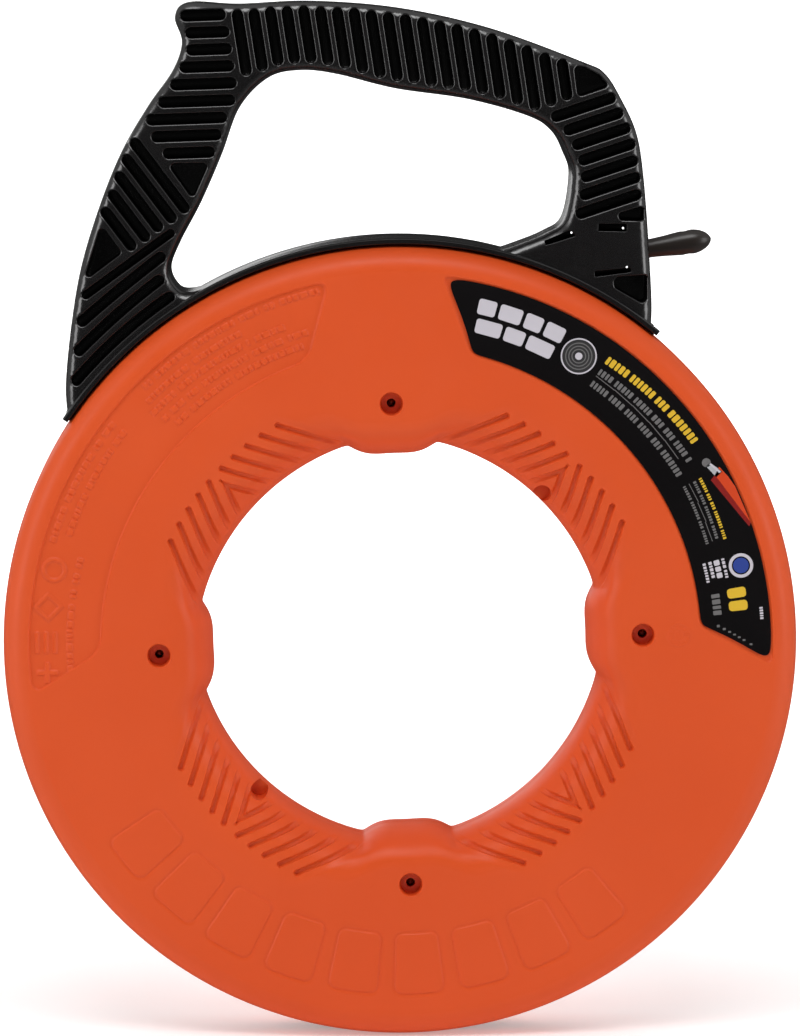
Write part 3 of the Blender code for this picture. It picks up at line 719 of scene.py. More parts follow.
def label_outline():
    """The label's outline: its outer corners are rounder than its inner ones."""
    inner_r, outer_r = LABEL_R
    corners = [
        (inner_r, LABEL_INNER_SPAN[0]), (inner_r, LABEL_INNER_SPAN[1]),
        (outer_r, LABEL_OUTER_SPAN[1]), (outer_r, LABEL_OUTER_SPAN[0]),
    ]
    outline = []
    for k in range(4):
        (start_r, start_deg), (end_r, end_deg) = corners[k], corners[(k + 1) % 4]
        for share in np.linspace(0.0, 1.0, 120, endpoint=False):
            radius = start_r + (end_r - start_r) * share
            outline.append(on_circle(radius, TURN + start_deg + (end_deg - start_deg) * share))
    points = evenly(outline, 0.4)
    strength = np.where(np.linalg.norm(points, axis=1) > sum(LABEL_R) / 2, 1.0, 0.2)[:, None]
    for _ in range(220):
        averaged = (np.roll(points, 1, 0) + np.roll(points, -1, 0)) / 2
        points = points + (averaged - points) * 0.5 * strength
    return points


def label_solid():
    """The label's film, with a slightly rounded front edge."""
    outline = label_outline()
    loops = []
    for sunk, inset in ((LABEL_THICK, 0.0), (0.12, 0.0), (0.03, 0.04), (0.0, 0.14)):
        loops.append([(px, sunk - LABEL_TOP, pz) for px, pz in inset_outline(outline, inset)])
    points = [point for loop in loops for point in loop]
    return points, capped_faces(len(loops), len(outline))


class Print:
    """Plain printed shapes on the label, gathered by ink."""

    def __init__(self):
        self.patches = {}

    def patch(self, ink, outline, lift=1):
        points, faces = self.patches.setdefault(ink, ([], []))
        y = -LABEL_TOP - INK_LIFT * lift
        faces.append(list(range(len(points), len(points) + len(outline))))
        points += [(px, y, pz) for px, pz in outline]

    def block(self, ink, radius, low_deg, high_deg, height, corner):
        """A block that follows the label's curve."""
        mean_deg = (low_deg + high_deg) / 2
        half = math.radians(high_deg - low_deg) / 2 * radius
        corners = [(-half, -height / 2), (half, -height / 2), (half, height / 2), (-half, height / 2)]
        outline = []
        for along, outward in rounded_polygon(corners, min(corner, half * 0.95, height * 0.45), 3):
            outline.append(on_circle(radius + outward, mean_deg - math.degrees(along / radius)))
        self.patch(ink, outline)

    def row(self, ink, start, end, height, widths, gap, word, seed, corner=0.3):
        """Blocks of uneven width between two (radius, degrees) points, in word-like groups."""
        random = np.random.RandomState(seed)
        length = math.radians(start[1] - end[1]) * start[0]
        travel, left = 0.0, random.randint(3, 8)
        while travel < length - widths[0]:
            width = min(widths[0] + (widths[1] - widths[0]) * random.rand(), length - travel)
            share = (travel + width / 2) / length
            radius = start[0] + (end[0] - start[0]) * share
            high = start[1] - (start[1] - end[1]) * travel / length
            self.block(ink, radius, high - math.degrees(width / radius), high, height, corner)
            left -= 1
            travel += width + (gap if left else word)
            left = left or random.randint(3, 8)

    def ring(self, ink, centre, outer, inner, lift=1):
        """A ring about a (radius, degrees) centre; an inner radius of 0 makes a disc."""
        cx, cz = on_circle(*centre)
        steps = 56
        if not inner:
            outline = [on_circle(outer, 360.0 * k / steps) for k in range(steps)]
            self.patch(ink, [(cx + px, cz + pz) for px, pz in outline], lift)
            return
        for k in range(steps):
            corners = ((inner, k), (outer, k), (outer, k + 1), (inner, k + 1))
            quad = [on_circle(radius, 360.0 * step / steps) for radius, step in corners]
            self.patch(ink, [(cx + px, cz + pz) for px, pz in quad], lift)


def print_label():
    """The label's art: an emblem, rows of plain blocks and a picture of the tape's end."""
    art = Print()
    for low, high in ((74.3, 77.3), (69.9, 73.7), (66.3, 69.3), (62.4, 65.7)):
        art.block("ink_white", 133.3, low, high, 6.0, 1.0)
    for low, high in ((72.4, 77.0), (68.2, 71.8), (62.8, 67.6)):
        art.block("ink_white", 125.9, low, high, 5.6, 1.0)
    emblem = (129.8, 58.6)
    art.ring("ink_white", emblem, 6.9, 6.35)
    art.ring("ink_dark", emblem, 6.35, 0)
    for outer, inner in ((5.2, 4.8), (4.0, 3.6), (2.8, 2.4)):
        art.ring("ink_grey", emblem, outer, inner, 2)
    art.ring("ink_white", emblem, 1.4, 0, 2)

    art.row("ink_yellow", (134.5, 54.4), (136.6, 34.8), 3.3, (1.3, 2.0), 0.5, 1.5, 3, 0.5)
    art.row("ink_grey", (129.2, 54.3), (130.8, 32.5), 2.6, (0.9, 1.4), 0.55, 1.5, 11)
    art.row("ink_grey", (123.9, 54.2), (124.6, 31.1), 2.6, (0.9, 1.4), 0.55, 1.5, 19)
    art.row("ink_grey", (127.1, 54.3), (127.8, 31.2), 0.3, (9.0, 9.0), 0.0, 0.0, 1, 0.05)
    art.row("ink_yellow", (130.8, 29.3), (130.3, 18.2), 1.3, (0.5, 0.9), 0.35, 0.9, 5, 0.15)
    art.row("ink_grey", (128.3, 29.3), (127.4, 18.3), 1.2, (0.5, 0.9), 0.35, 0.9, 6, 0.15)
    art.row("ink_grey", (124.0, 29.4), (123.3, 18.3), 1.2, (0.5, 0.9), 0.35, 0.9, 8, 0.15)
    art.row("ink_grey", (126.3, 29.4), (125.3, 18.2), 0.25, (8.0, 8.0), 0.0, 0.0, 1, 0.05)

    art.patch("ink_silver", [(116.4, 68.6), (118.0, 69.9), (122.6, 66.6), (120.3, 64.4)])
    art.patch("ink_white", [(117.6, 69.3), (118.1, 69.7), (122.2, 66.6), (121.5, 66.0)], 2)
    art.ring("ink_grey", (135.9, 31.0), 1.7, 0)
    art.patch("ink_orange", [(119.8, 65.3), (121.4, 68.4), (124.6, 65.0), (127.5, 61.0), (133.7, 46.9)])
    art.patch("ink_red", [(118.2, 63.3), (119.8, 65.3), (133.7, 46.9), (133.0, 45.5)])

    roundel = (133.5, 13.2)
    art.ring("ink_white", roundel, 4.7, 3.5)
    art.ring("ink_blue", roundel, 3.0, 0)
    for radius, height, seed in ((127.3, 1.2, 2), (122.2, 1.3, 4), (119.9, 1.2, 9)):
        art.row("ink_white", (radius, 15.1), (radius, 11.5), height, (0.6, 1.2), 0.35, 0.8, seed, 0.15)
    art.row("ink_white", (124.7, 15.1), (124.7, 11.5), 2.2, (1.6, 2.2), 0.5, 0.5, 7, 0.4)
    art.block("ink_yellow", 129.9, 8.0, 9.7, 7.2, 1.2)
    art.block("ink_yellow", 129.9, 5.8, 7.5, 7.2, 1.2)
    art.row("ink_grey", (121.7, 9.2), (121.7, 5.2), 3.2, (1.2, 1.9), 0.6, 0.9, 12, 0.3)
    art.row("ink_white", (138.5, 6.0), (138.5, 3.9), 1.3, (0.5, 0.8), 0.3, 0.5, 13, 0.15)
    art.row("ink_grey", (120.8, 3.6), (135.6, -0.4), 1.1, (0.6, 1.0), 0.35, 0.8, 14, 0.15)
    return art


def make_label(materials):
    """The label's film, and one piece of flat print for each ink."""
    label = make_piece("product_label_film", *label_solid(), [materials["label"]])
    place(label, "case", ["product_label"])
    for ink, (points, faces) in print_label().patches.items():
        printed = make_piece("label_" + ink, points, faces, [materials[ink]])
        flip_to_front(printed)
        place(printed, "case")


def flip_to_front(printed):
    """Turns flat patches to face the front."""
    shape = bmesh.new()
    shape.from_mesh(printed.data)
    bmesh.ops.reverse_faces(shape, faces=[face for face in shape.faces if face.normal.y > 0])
    shape.to_mesh(printed.data)
    shape.free()


# ---------------------------------------------------------------- handle

def grip_outer_path():
    """The handle's outside edge, from the foot behind to the foot at the nose."""
    heel = [(-125.3, 80.9), (-127.8, 91.8), (-127.4, 108.2), (-123.2, 138.6)]
    rear = [(-116.4, 163.0), (-106.8, 187.3), (-96.2, 205.6), (-86.7, 219.2)]
    horn = [(-83.2, 229.9), (-85.8, 239.4), (-80.8, 244.9)]
    top = [(-61.6, 244.2), (-33.8, 245.3), (-0.1, 242.6), (34.7, 234.9), (69.4, 222.3)]
    knuckle = [(77.8, 217.9), (83.8, 208.8), (90.0, 195.3), (92.8, 178.9)]
    nose = [(95.1, 150.1), (96.1, 124.3), (93.1, 114.4)]
    return smooth_path(heel + rear + horn + top + knuckle + nose, 10)


def finger_path():
    """The edge of the finger opening, from the nose's foot round to the rear foot."""
    ramp = [(29.3, 147.4), (44.2, 152.4), (55.5, 157.0), (62.6, 162.5), (65.4, 178.8)]
    front = [(63.1, 187.1), (58.5, 195.4), (48.8, 201.6), (25.7, 208.1), (-2.1, 212.2)]
    rear = [(-24.5, 217.7), (-38.3, 219.1), (-50.2, 216.3), (-61.1, 205.2), (-68.0, 187.3)]
    foot = [(-76.0, 169.0), (-84.0, 153.8), (-87.8, 143.1), (-84.7, 136.2), (-79.6, 135.0), (-71.6, 137.2)]
    return smooth_path(ramp + front + rear + foot, 10)


def above_band(path):
    """The part of a path outside the band, with its ends on the circle that it meets."""
    kept = []
    for k, (px, pz) in enumerate(path):
        outside = math.hypot(px, pz) > FOOT_R
        if k:
            qx, qz = path[k - 1]
            was = math.hypot(qx, qz) > FOOT_R
            if outside != was:
                share = (FOOT_R - math.hypot(qx, qz)) / (math.hypot(px, pz) - math.hypot(qx, qz))
                kept.append((qx + (px - qx) * share, qz + (pz - qz) * share))
        if outside:
            kept.append((px, pz))
    return kept


def distances_to(path, points):
    """Distance from each point to a path of straight pieces."""
    path, points = np.asarray(path), np.asarray(points)
    nearest = np.full(len(points), 1e9)
    for start, end in zip(path[:-1], path[1:]):
        along = end - start
        share = np.clip(((points - start) @ along) / max(along @ along, 1e-12), 0.0, 1.0)
        gap = np.linalg.norm(points - start - share[:, None] * along, axis=1)
        nearest = np.minimum(nearest, gap)
    return nearest


def inside_polygon(polygon, points):
    """Whether each point is inside a closed polygon."""
    polygon, points = np.asarray(polygon), np.asarray(points)
    inside = np.zeros(len(points), bool)
    for (ax, az), (bx, bz) in zip(polygon, np.roll(polygon, -1, 0)):
        crosses = (az > points[:, 1]) != (bz > points[:, 1])
        with np.errstate(divide="ignore", invalid="ignore"):
            at = ax + (points[:, 1] - az) * (bx - ax) / (bz - az)
        inside ^= crosses & (points[:, 0] < at)
    return inside


def stadium(start, end, half_width, steps=8):
    """A pocket's outline: two straight sides and two round ends."""
    start, end = np.asarray(start), np.asarray(end)
    along = (end - start) / np.linalg.norm(end - start)
    across = np.array([-along[1], along[0]])
    outline = []
    for centre, turn in ((end, -90.0), (start, 90.0)):
        for k in range(steps + 1):
            angle = math.radians(turn + 180.0 * k / steps)
            outline.append(tuple(centre + half_width * (along * math.cos(angle) + across * math.sin(angle))))
    return outline


def rounded_polygon(corners, radius, steps=5):
    """A polygon with round corners."""
    outline = []
    count = len(corners)
    for k in range(count):
        before, here, after = (Vector(corners[(k + d) % count]) for d in (-1, 0, 1))
        to_before, to_after = (before - here).normalized(), (after - here).normalized()
        half = math.acos(max(-1.0, min(1.0, to_before.dot(to_after)))) / 2
        reach = radius / math.tan(half)
        reach = min(reach, 0.48 * (before - here).length, 0.48 * (after - here).length)
        fit = reach * math.tan(half)
        centre = here + (to_before + to_after).normalized() * fit / math.sin(half)
        first, last = here + to_before * reach - centre, here + to_after * reach - centre
        swing = math.atan2(first.x * last.y - first.y * last.x, first.dot(last))
        for step in range(steps + 1):
            angle = swing * step / steps
            outline.append((
                centre.x + first.x * math.cos(angle) - first.y * math.sin(angle),
                centre.y + first.x * math.sin(angle) + first.y * math.cos(angle),
            ))
    return outline


def run_inside(point_at, margins, limits, edges, step=0.5):
    """The ends of the stretch about point_at(0) that keeps to the grip's walls."""
    ends = []
    for way in (-1, 1):
        travels = way * np.arange(step, POCKET_REACH, step)
        points = np.array([point_at(travel) for travel in travels])
        free = (distances_to(edges[0], points) >= margins[0]) & (distances_to(edges[1], points) >= margins[1])
        for base, normal in limits:
            free &= (points - np.array(base)) @ np.array(normal) > 0
        blocked = np.flatnonzero(~free)
        count = blocked[0] if len(blocked) else len(travels)
        ends.append(travels[count - 1] if count else 0.0)
    return ends


POCKET_HALF_WIDTH = 2.1
POCKET_REACH = 40.0
HEEL_MARGINS, HEEL_BEND = (4.0, 4.6), 0.0018
OUTLINE_SPACING = 1.6


def bent_pocket(middle, heading_deg, half_width, curvature, edges):
    """The outline of a slightly bent pocket with round ends, as long as the walls allow."""
    heading = np.array(on_circle(1.0, heading_deg))
    outward = np.array([-heading[1], heading[0]])

    def bent(travel, aside=0.0):
        return np.array(middle) + heading * travel + outward * (aside - 0.5 * curvature * travel ** 2)

    low, high = run_inside(bent, HEEL_MARGINS, [], edges)
    outline = []
    for start, end, turn in ((low, high, -90.0), (high, low, 90.0)):
        side = math.copysign(half_width, turn)
        outline += [tuple(bent(travel, side)) for travel in np.linspace(start, end, 9)]
        for step in range(1, 8):
            angle = math.radians(turn + 22.5 * step)
            outline.append(tuple(bent(end + half_width * math.cos(angle), half_width * math.sin(angle))))
    return outline


def grip_pockets(edges):
    """Outlines of the pockets in each face of the handle, as in the CAD."""
    outlines = []
    families = [
        ((-74.5, 240.0), (-0.60, -6.50), 9, 2.0, (3.9, 4.6),
         [((-67.0, 233.6), (-0.99, -0.15)), ((-89.4, 189.0), (0.8, 0.6))]),
        ((-60.4, 230.1), (6.46, -0.78), 20, -81.2, (3.9, 4.8),
         [((-58.7, 218.9), (0.3, 0.95)), ((63.5, 209.6), (-0.32, 0.95))]),
        ((70.2, 205.3), (1.43, -6.20), 7, 18.5, (3.6, 5.0), []),
        ((-91.5, 179.0), (-4.01, -4.96), 5, -53.0, (3.4, 4.6), [((-82.1, 166.4), (-0.56, 0.83))]),
    ]
    for first, pitch, count, heading_deg, margins, limits in families:
        heading = np.array(on_circle(1.0, heading_deg))
        for k in range(count):
            middle = np.array(first) + np.array(pitch) * k
            ends = run_inside(lambda travel: middle + heading * travel, margins, limits, edges)
            start, end = (middle + heading * travel for travel in ends)
            outlines.append(stadium(start, end, POCKET_HALF_WIDTH))

    heel_rows = [
        ((-103.8, 145.6), 36.0, 1.6), ((-107.3, 135.8), 39.4, POCKET_HALF_WIDTH),
        ((-108.1, 126.4), 41.4, POCKET_HALF_WIDTH), ((-107.6, 117.8), 42.0, POCKET_HALF_WIDTH),
    ]
    for k, row in enumerate(heel_rows):
        outlines.append(bent_pocket(*row, HEEL_BEND * k, edges))

    plain = [
        ([(-89.0, 183.9), (-72.8, 184.2), (-79.1, 169.9)], 1.6),
        ([(-114.0, 161.0), (-106.0, 149.9), (-118.2, 140.7), (-120.3, 141.0)], 1.6),
        ([(65.8, 220.9), (70.0, 220.3), (75.6, 217.3), (78.8, 213.7), (78.0, 212.4), (67.3, 208.8)], 1.7),
        ([(82.7, 164.7), (91.2, 167.3), (92.8, 166.8), (92.8, 162.2), (91.3, 161.8), (83.6, 162.0)], 1.7),
        ([(81.3, 138.8), (82.6, 140.6), (93.2, 141.3), (94.2, 140.6),
          (94.2, 131.6), (92.2, 130.3), (81.6, 136.4)], 1.8),
        ([(54.8, 154.2), (64.6, 158.4), (66.9, 156.1), (55.4, 152.5)], 0.4),
        ([(75.3, 158.0), (75.3, 160.9), (86.3, 160.8), (86.3, 157.7)], 0.4),
        ([(74.1, 140.4), (73.9, 142.7), (87.7, 144.1), (88.1, 142.3)], 0.4),
    ]
    for corners, radius in plain:
        outlines.append(rounded_polygon(corners, radius))
    return outlines


def foot_arc(start, end, steps=30):
    """Points between two points of the circle that the grip's feet end on."""
    start_deg, end_deg = (math.degrees(math.atan2(z, x)) for x, z in (start, end))
    return [on_circle(FOOT_R, start_deg + (end_deg - start_deg) * k / steps) for k in range(1, steps)]


def grip_outline():
    """The grip's closed outline above the band, and its two free edges."""
    outer = above_band(grip_outer_path())
    fingers = above_band(finger_path())
    outline = outer + foot_arc(outer[-1], fingers[0]) + fingers + foot_arc(fingers[-1], outer[0])
    return outline, (outer, fingers)


def grip_height(points, edges):
    """Half the grip's thickness at each point: full inside, round towards the free edges."""
    gap = np.minimum(distances_to(edges[0], points), distances_to(edges[1], points))
    reach = np.clip(GRIP_ROUNDING - gap, 0.0, GRIP_ROUNDING)
    return GRIP_HALF - GRIP_ROUNDING + np.sqrt(GRIP_ROUNDING ** 2 - reach ** 2)


RIM_ROUNDING = 0.55
SLOT_ROUNDING = 0.15
SLOT_COUNT = 3
RIM_STEPS = 4


def split_long_sides(loop, spacing):
    """The loop with points added on its long straight pieces."""
    made = []
    for k, here in enumerate(loop):
        after = loop[(k + 1) % len(loop)]
        length = math.hypot(after[0] - here[0], after[1] - here[1])
        count = max(1, round(length / spacing))
        for step in range(count):
            share = step / count
            made.append((here[0] + (after[0] - here[0]) * share, here[1] + (after[1] - here[1]) * share))
    return made


def filled_between(points, constraints, boundary_count):
    """Triangles of the region that holds the loose points, between closed loops.

    The first boundary_count points make the loops and the others fill the
    region. Returns the points, the triangles and each given point's number.
    """
    vectors = [Vector(point) for point in points]
    made, made_edges, faces, source, edge_source, _ = delaunay_2d_cdt(vectors, constraints, [], 0, 1e-5)
    order = {origin: index for index, origins in enumerate(source) for origin in origins}
    walls = {frozenset(edge) for edge, origins in zip(made_edges, edge_source) if origins}
    beside = {}
    for number, face in enumerate(faces):
        for start, end in zip(face, face[1:] + face[:1]):
            beside.setdefault(frozenset((start, end)), []).append(number)
    loose = {order[k] for k in range(boundary_count, len(points))}
    waiting = [number for number, face in enumerate(faces) if loose.intersection(face)]
    kept = set(waiting)
    while waiting:
        face = faces[waiting.pop()]
        for start, end in zip(face, face[1:] + face[:1]):
            if frozenset((start, end)) in walls:
                continue
            for other in beside[frozenset((start, end))]:
                if other not in kept:
                    kept.add(other)
                    waiting.append(other)
    triangles = np.array([list(faces[number]) for number in sorted(kept)])
    return np.array([tuple(point) for point in made]), triangles, order


def fill_points(outline, rims, spacing=1.7):
    """Loose points that fill an outline, closer together at its edge, between the pockets' rims."""
    low, high = np.min(outline, 0), np.max(outline, 0)
    columns = np.arange(low[0], high[0], spacing)
    rows = np.arange(low[1], high[1], spacing * 0.87)
    scatter = [(column + (k % 2) * spacing / 2, row) for k, row in enumerate(rows) for column in columns]
    for inset in (0.25, 0.8, 1.7, 2.9, 4.4):
        scatter += inset_outline(outline, inset)
    scatter = np.array(scatter)
    clear = inside_polygon(outline, scatter)
    gap = distances_to(outline + outline[:1], scatter)
    clear &= gap > 0.2
    for rim in rims:
        near = (np.abs(scatter - np.mean(rim, 0)) < 30.0).all(1)
        index = np.flatnonzero(near & clear)
        if len(index):
            bad = inside_polygon(rim, scatter[index])
            bad |= distances_to(rim + rim[:1], scatter[index]) < 0.35
            clear[index[bad]] = False
    return scatter[clear]


def pocket_loops(pocket, heights, way, rounding):
    """Loops of points from below a pocket's rim down its wall to the web, on one side."""
    loops = []
    for step in range(1, RIM_STEPS + 1):
        turn = math.pi / 2 * step / RIM_STEPS
        out, down = rounding * (1 - math.sin(turn)), rounding * (1 - math.cos(turn))
        loop = inset_outline(pocket, -out)
        loops.append([(px, way * (h - down), pz) for (px, pz), h in zip(loop, heights)])
    for inset, floor in ((0.0, WEB_HALF + 0.5), (0.15, WEB_HALF + 0.15), (0.5, WEB_HALF)):
        loops.append([(px, way * floor, pz) for px, pz in inset_outline(pocket, inset)])
    return loops


def grip_solid():
    """The grip as one closed surface, with rounded edges and rounded pocket rims."""
    outline, edges = grip_outline()
    outline = split_long_sides(outline, OUTLINE_SPACING)
    pockets = [split_long_sides(pocket, OUTLINE_SPACING) for pocket in grip_pockets(edges)]
    roundings = [RIM_ROUNDING] * (len(pockets) - SLOT_COUNT) + [SLOT_ROUNDING] * SLOT_COUNT
    rims = [inset_outline(pocket, -rounding) for pocket, rounding in zip(pockets, roundings)]

    flat_points, constraints = [], []
    for loop in [outline] + rims:
        start = len(flat_points)
        flat_points += loop
        constraints += [(start + k, start + (k + 1) % len(loop)) for k in range(len(loop))]
    boundary_count = len(flat_points)
    flat_points += [tuple(point) for point in fill_points(outline, rims)]
    flat, triangles, order = filled_between(flat_points, constraints, boundary_count)

    height = grip_height(flat, edges)
    points, faces = [], []
    for way in (-1, 1):
        start = len(points)
        points += [(px, way * h, pz) for (px, pz), h in zip(flat, height)]
        faces += (triangles + start).tolist()
    far = len(flat)

    wall_levels = 5
    rings = [[order[k] for k in range(len(outline))]]
    for level in range(1, wall_levels):
        start = len(points)
        share = level / wall_levels
        for k, (px, pz) in enumerate(outline):
            h = height[order[k]]
            points.append((px, -h + 2 * h * share, pz))
        rings.append([start + k for k in range(len(outline))])
    rings.append([far + order[k] for k in range(len(outline))])
    for near_ring, far_ring in zip(rings[:-1], rings[1:]):
        for k in range(len(outline)):
            j = (k + 1) % len(outline)
            faces.append([near_ring[k], near_ring[j], far_ring[j], far_ring[k]])

    first = len(outline)
    for pocket, rim, rounding in zip(pockets, rims, roundings):
        for way, base in ((-1, 0), (1, far)):
            ring = [base + order[first + k] for k in range(len(rim))]
            heights = [height[order[first + k]] for k in range(len(rim))]
            for loop in pocket_loops(pocket, heights, way, rounding):
                below = [len(points) + k for k in range(len(rim))]
                points += loop
                faces += [[ring[k], ring[k - 1], below[k - 1], below[k]] for k in range(len(rim))]
                ring = below
            faces.append(ring)
        first += len(rim)
    return points, faces


def shoe_solid():
    """The band over the rim with its beaded edges, the neck in the slot and the flange."""
    inner, outer = BAND_R
    half = [
        (outer, 0.0), (outer, BAND_HALF - 3.4), (outer + 0.15, BAND_HALF - 2.9),
        (outer + 0.3, BAND_HALF - 2.2), (outer + 0.3, BAND_HALF - 0.9), (outer + 0.1, BAND_HALF - 0.35),
        (outer - 0.3, BAND_HALF),
        (inner + 0.2, BAND_HALF), (inner, BAND_HALF - 0.3), (inner, 7.4), (149.0, 7.4), (149.0, 14.0),
        (146.5, 14.0), (146.5, 0.0),
    ]
    section = half + [(radius, -y) for radius, y in reversed(half[1:-1])]
    steps = 160
    points = []
    for k in range(steps + 1):
        degrees = BAND_SPAN[0] + (BAND_SPAN[1] - BAND_SPAN[0]) * k / steps
        for radius, y in section:
            px, pz = on_circle(radius, degrees)
            points.append((px, y, pz))
    return points, capped_faces(steps + 1, len(section))


def lead_axis():
    """Where the tape leaves the coil on its straight way to the nose, and its heading."""
    x, z = on_circle(COIL_OUTER_R + 0.4 + TAPE_R, 90.0 + LEAD_TILT)
    along_x, along_z = on_circle(1.0, LEAD_TILT)
    return (x, 0.0, z), (along_x, 0.0, along_z)


def ring_solid(centre, radii, y_range, sides=64):
    """A flat ring about (x, z), between two radii and two depths."""
    section = [(radii[0], y_range[0]), (radii[1], y_range[0]), (radii[1], y_range[1]), (radii[0], y_range[1])]
    points = []
    for k in range(sides):
        for radius, y in section:
            px, pz = on_circle(radius, 360.0 * k / sides)
            points.append((centre[0] + px, y, centre[1] + pz))
    return points, grid_faces(sides, 4, close_rows=True).tolist()


def make_handle(materials):
    """The handle's moulding, with the nose's bore, three pinholes and a faint ring mark."""
    handle = make_piece("handle_moulding", *grip_solid(), [materials["black"]])
    combine(handle, "UNION", shoe_solid())
    bore = lathe(*lead_axis(), [
        (40.0, 2.9), (93.5, 2.9), (94.0, 3.4), (108.0, 3.4), (108.5, 4.0), (117.0, 4.0),
        (118.4, 4.1), (119.2, 4.8), (128.0, 5.0),
    ], 40)
    marks = [ring_solid((69.2, 149.3), (4.4, 4.8), (-18.0, 0.15 - GRIP_HALF))]
    pinhole = [(0.0, 0.45), (42.0, 0.45)]
    for px, pz in ((65.0, 157.5), (84.9, 159.2), (86.4, 144.2)):
        marks.append(lathe((px - 0.2, -20.0, pz + 0.15), (0.06, 1.0, -0.053), pinhole, 16))
    combine(handle, "DIFFERENCE", bore)
    combine(handle, "DIFFERENCE", joined(*marks))
    finish_mesh(handle, 30.0)
    place(handle, "handle", ["handle"])


# ---------------------------------------------------------------- tape

def make_coil(materials):
    """The wound tape: five turns side by side, four layers deep, as one winding.

    Each turn crosses to the next place on its last stretch, from CROSS_FROM on.
    """
    turns_wide, turns_deep, per_turn = 5, 4, 72
    points = []
    total = turns_wide * turns_deep
    for step in range(total * per_turn + 1):
        turn, share = divmod(step, per_turn)
        share /= per_turn
        layer, column = divmod(min(turn, total - 1), turns_wide)
        cross = max(0.0, (share - CROSS_FROM) / (1.0 - CROSS_FROM))
        cross = cross * cross * (3 - 2 * cross)
        way = 1 if layer % 2 == 0 else -1
        y = way * (column - (turns_wide - 1) / 2) * 2 * TAPE_R
        radius = COIL_OUTER_R - TAPE_R - 2 * TAPE_R * (turns_deep - 1 - layer)
        if turn < total - 1:
            if column < turns_wide - 1:
                y += way * 2 * TAPE_R * cross
            else:
                radius += 2 * TAPE_R * cross
        px, pz = on_circle(radius, 90.0 + LEAD_TILT + 360.0 * share)
        points.append((px * MM, y * MM * 0.999, pz * MM + CENTRE_Z))
    curve = bpy.data.curves.new("tape_winding", "CURVE")
    curve.dimensions = "3D"
    curve.bevel_depth = TAPE_R * MM * TURN_THINNING
    curve.bevel_resolution = 3
    curve.use_fill_caps = True
    spline = curve.splines.new("POLY")
    spline.points.add(len(points) - 1)
    for target, point in zip(spline.points, points):
        target.co = (*point, 1.0)
    curve.materials.append(materials["tape"])
    coil = add_object("tape_winding", curve)
    place(coil, "case", ["tape_coil"])


def make_lead(materials):
    """The grooved run of tape through the handle, its sleeve and its tip."""
    origin, axis = lead_axis()
    grooves, per_groove = 10, 6
    sides = grooves * per_groove
    stations = [(LEAD_LENGTH * k / LEAD_SEGMENTS, TAPE_R) for k in range(LEAD_SEGMENTS + 1)]
    points, faces = lathe(origin, axis, stations, sides)
    shaped = []
    for k, point in enumerate(points):
        centre = Vector(origin) + Vector(axis) * stations[k // sides][0]
        depth = LEAD_GROOVE_DEPTH * (0.5 - 0.5 * math.cos(2 * math.pi * (k % sides) / per_groove))
        shaped.append(tuple(centre + (Vector(point) - centre) * (1 - depth / TAPE_R)))
    lead = make_piece("tape_lead_rod", shaped, faces, [materials["tape"]])
    place(lead, "fish_tape", ["tape_lead"])

    sleeve = [(95.3, 2.45), (95.6, 2.7), (96.2, 2.95), (97.2, 3.0)]
    for crimp in (99.0, 102.0, 105.0):
        sleeve += [(crimp - 0.6, 3.0), (crimp - 0.3, 2.85), (crimp + 0.3, 2.85), (crimp + 0.6, 3.0)]
    sleeve += [(108.0, 3.0), (108.7, 2.85), (109.0, 2.6)]
    ferrule = make_piece("tape_ferrule_sleeve", *lathe(origin, axis, sleeve, 40), [materials["ferrule"]])
    place(ferrule, "fish_tape", ["tape_ferrule"])

    end = 142.4
    profile = smooth_rows([
        (108.0, 2.9), (109.3, 3.1), (110.1, 3.5), (118.0, 3.58), (124.0, 3.95), (130.0, 4.55), (133.8, 4.75),
        (136.4, 4.55), (138.8, 3.85), (140.8, 2.65), (141.9, 1.4), (end, 0.35), (end + 0.3, -0.6),
    ], 5)
    tip = make_piece("tape_tip_eyelet", *lathe(origin, axis, profile.tolist(), 56), [materials["tip"]])
    eye = Vector(origin) + Vector(axis) * (end - 9.5)
    across = (-axis[2], 0.0, axis[0])
    foot = eye - Vector(across) * 8.0
    eyelet = [
        (0.0, 2.4), (3.1, 2.4), (3.55, 1.85), (4.2, 1.7),
        (11.8, 1.7), (12.45, 1.85), (12.9, 2.4), (16.0, 2.4),
    ]
    combine(tip, "DIFFERENCE", lathe(tuple(foot), across, eyelet, 40))
    finish_mesh(tip, 40.0)
    place(tip, "fish_tape", ["tape_tip"])


def dress_cad_nodes(materials):
    """Materials for the CAD nodes that stay: the tape's inner end and its anchor."""
    for node, key in (("tape_tail", "tape"), ("tape_anchor_clip", "zinc"), ("tape_anchor_screw", "steel")):
        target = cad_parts[node]
        target.data.materials.clear()
        target.data.materials.append(materials[key])


# ---------------------------------------------------------------- stage

CAMERA_LENS = 189.1286
CAMERA_AT = (-0.0466, -2.0906, 0.2625)
CAMERA_DOWN_DEG, CAMERA_LEFT_DEG = 5.9, -1.28


def make_camera():
    """The camera, placed from the case's centre."""
    camera = bpy.data.cameras.new("camera")
    camera.sensor_width = 36.0
    camera.lens = CAMERA_LENS
    camera.clip_end = 20.0
    made = add_object("camera", camera)
    made.location = (CAMERA_AT[0], CAMERA_AT[1], CENTRE_Z + CAMERA_AT[2])
    made.rotation_euler = (math.radians(90.0 - CAMERA_DOWN_DEG), 0.0, math.radians(CAMERA_LEFT_DEG))
    bpy.context.scene.camera = made


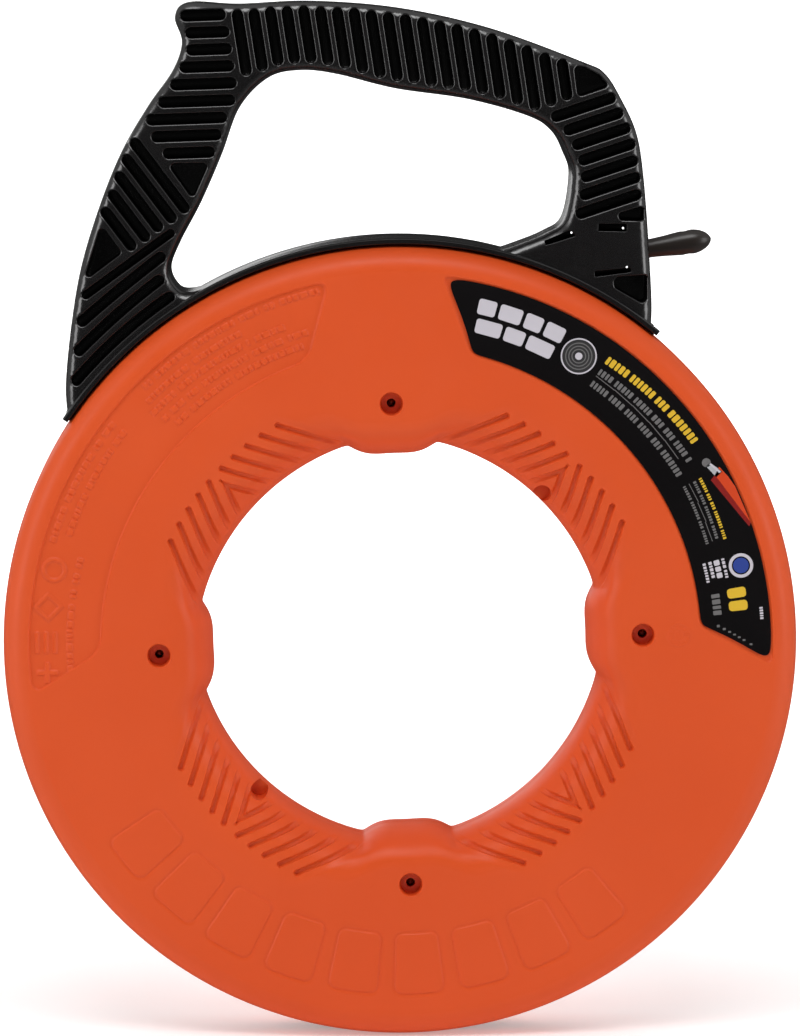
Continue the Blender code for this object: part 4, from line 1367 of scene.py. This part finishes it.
def make_stage():
    """A pale floor that curves up into a backdrop, a little brighter towards the back.

    It is left out of reflections, so that the plastics keep their dark edges.
    """
    width, front, back, rise = 8.0, -5.0, 3.4, 4.0
    profile = [(front, 0.0), (back - 0.8, 0.0)]
    for k in range(1, 17):
        angle = math.pi / 2 * k / 16
        profile.append((back - 0.8 + 0.8 * math.sin(angle), 0.8 - 0.8 * math.cos(angle)))
    profile.append((back, rise))
    points = [(side * width / 2, y, z) for y, z in profile for side in (-1, 1)]
    mesh = bpy.data.meshes.new("floor")
    faces = [[2 * k, 2 * k + 1, 2 * k + 3, 2 * k + 2] for k in range(len(profile) - 1)]
    mesh.from_pydata(points, [], faces)
    mesh.shade_smooth()
    material, tree, shader = new_material("floor_white")
    tree.links.new(
        mixed_colour(tree, noise_texture(tree, 3.0), (0.90, 0.90, 0.90), (0.93, 0.93, 0.93)),
        shader.inputs["Base Color"])
    shader.inputs["Roughness"].default_value = 0.9
    shader.inputs["Specular IOR Level"].default_value = 0.1
    shader.inputs["Emission Color"].default_value = (1.0, 1.0, 1.0, 1.0)
    backwards = coordinates(tree, "Object")["Y"]
    tree.links.new(ranged(tree, backwards, 0.18, 1.0, -0.3, 2.2), shader.inputs["Emission Strength"])
    mesh.materials.append(material)
    floor = add_object("floor", mesh)
    floor.visible_glossy = False


def area_light(name, location, target, size, power):
    """A soft rectangular light that faces a target."""
    light = bpy.data.lights.new(name, "AREA")
    light.shape = "RECTANGLE"
    light.size, light.size_y = size
    light.energy = power
    made = add_object(name, light)
    made.location = location
    made.rotation_euler = (Vector(target) - Vector(location)).to_track_quat("-Z", "Y").to_euler()


def make_lights():
    """Four soft lights in a studio that is pale at its sides and dark before and behind."""
    world = bpy.data.worlds.new("studio")
    bpy.context.scene.world = world
    world.use_nodes = True
    tree = world.node_tree
    background = tree.nodes["Background"]
    background.inputs["Color"].default_value = (1.0, 1.0, 1.0, 1.0)
    heading = coordinates(tree, "Generated")
    at_the_sides = ranged(tree, worked_out(tree, "ABSOLUTE", heading["Y"]), 0.50, 0.04, 0.30, 0.85)
    overhead = ranged(tree, heading["Z"], 0.45, 1.0, -0.6, 0.5)
    tree.links.new(worked_out(tree, "MULTIPLY", at_the_sides, overhead), background.inputs["Strength"])
    middle = (0.0, 0.0, CENTRE_Z)
    area_light("top_softbox", (-0.1, -1.1, 2.0), middle, (1.5, 0.9), 19.5)
    area_light("left_softbox", (-1.9, -0.95, 0.6), middle, (0.9, 1.4), 12.5)
    area_light("right_softbox", (1.9, -0.95, 0.5), middle, (0.9, 1.4), 12.5)
    area_light("rear_softbox", (-0.7, 1.8, 0.7), middle, (1.2, 1.0), 4.0)
    bpy.context.scene.view_settings.view_transform = "Standard"


def main():
    materials = make_materials()
    make_camera()
    make_case(materials)
    make_screws(materials)
    make_label(materials)
    make_handle(materials)
    make_coil(materials)
    make_lead(materials)
    dress_cad_nodes(materials)
    make_stage()
    make_lights()


main()
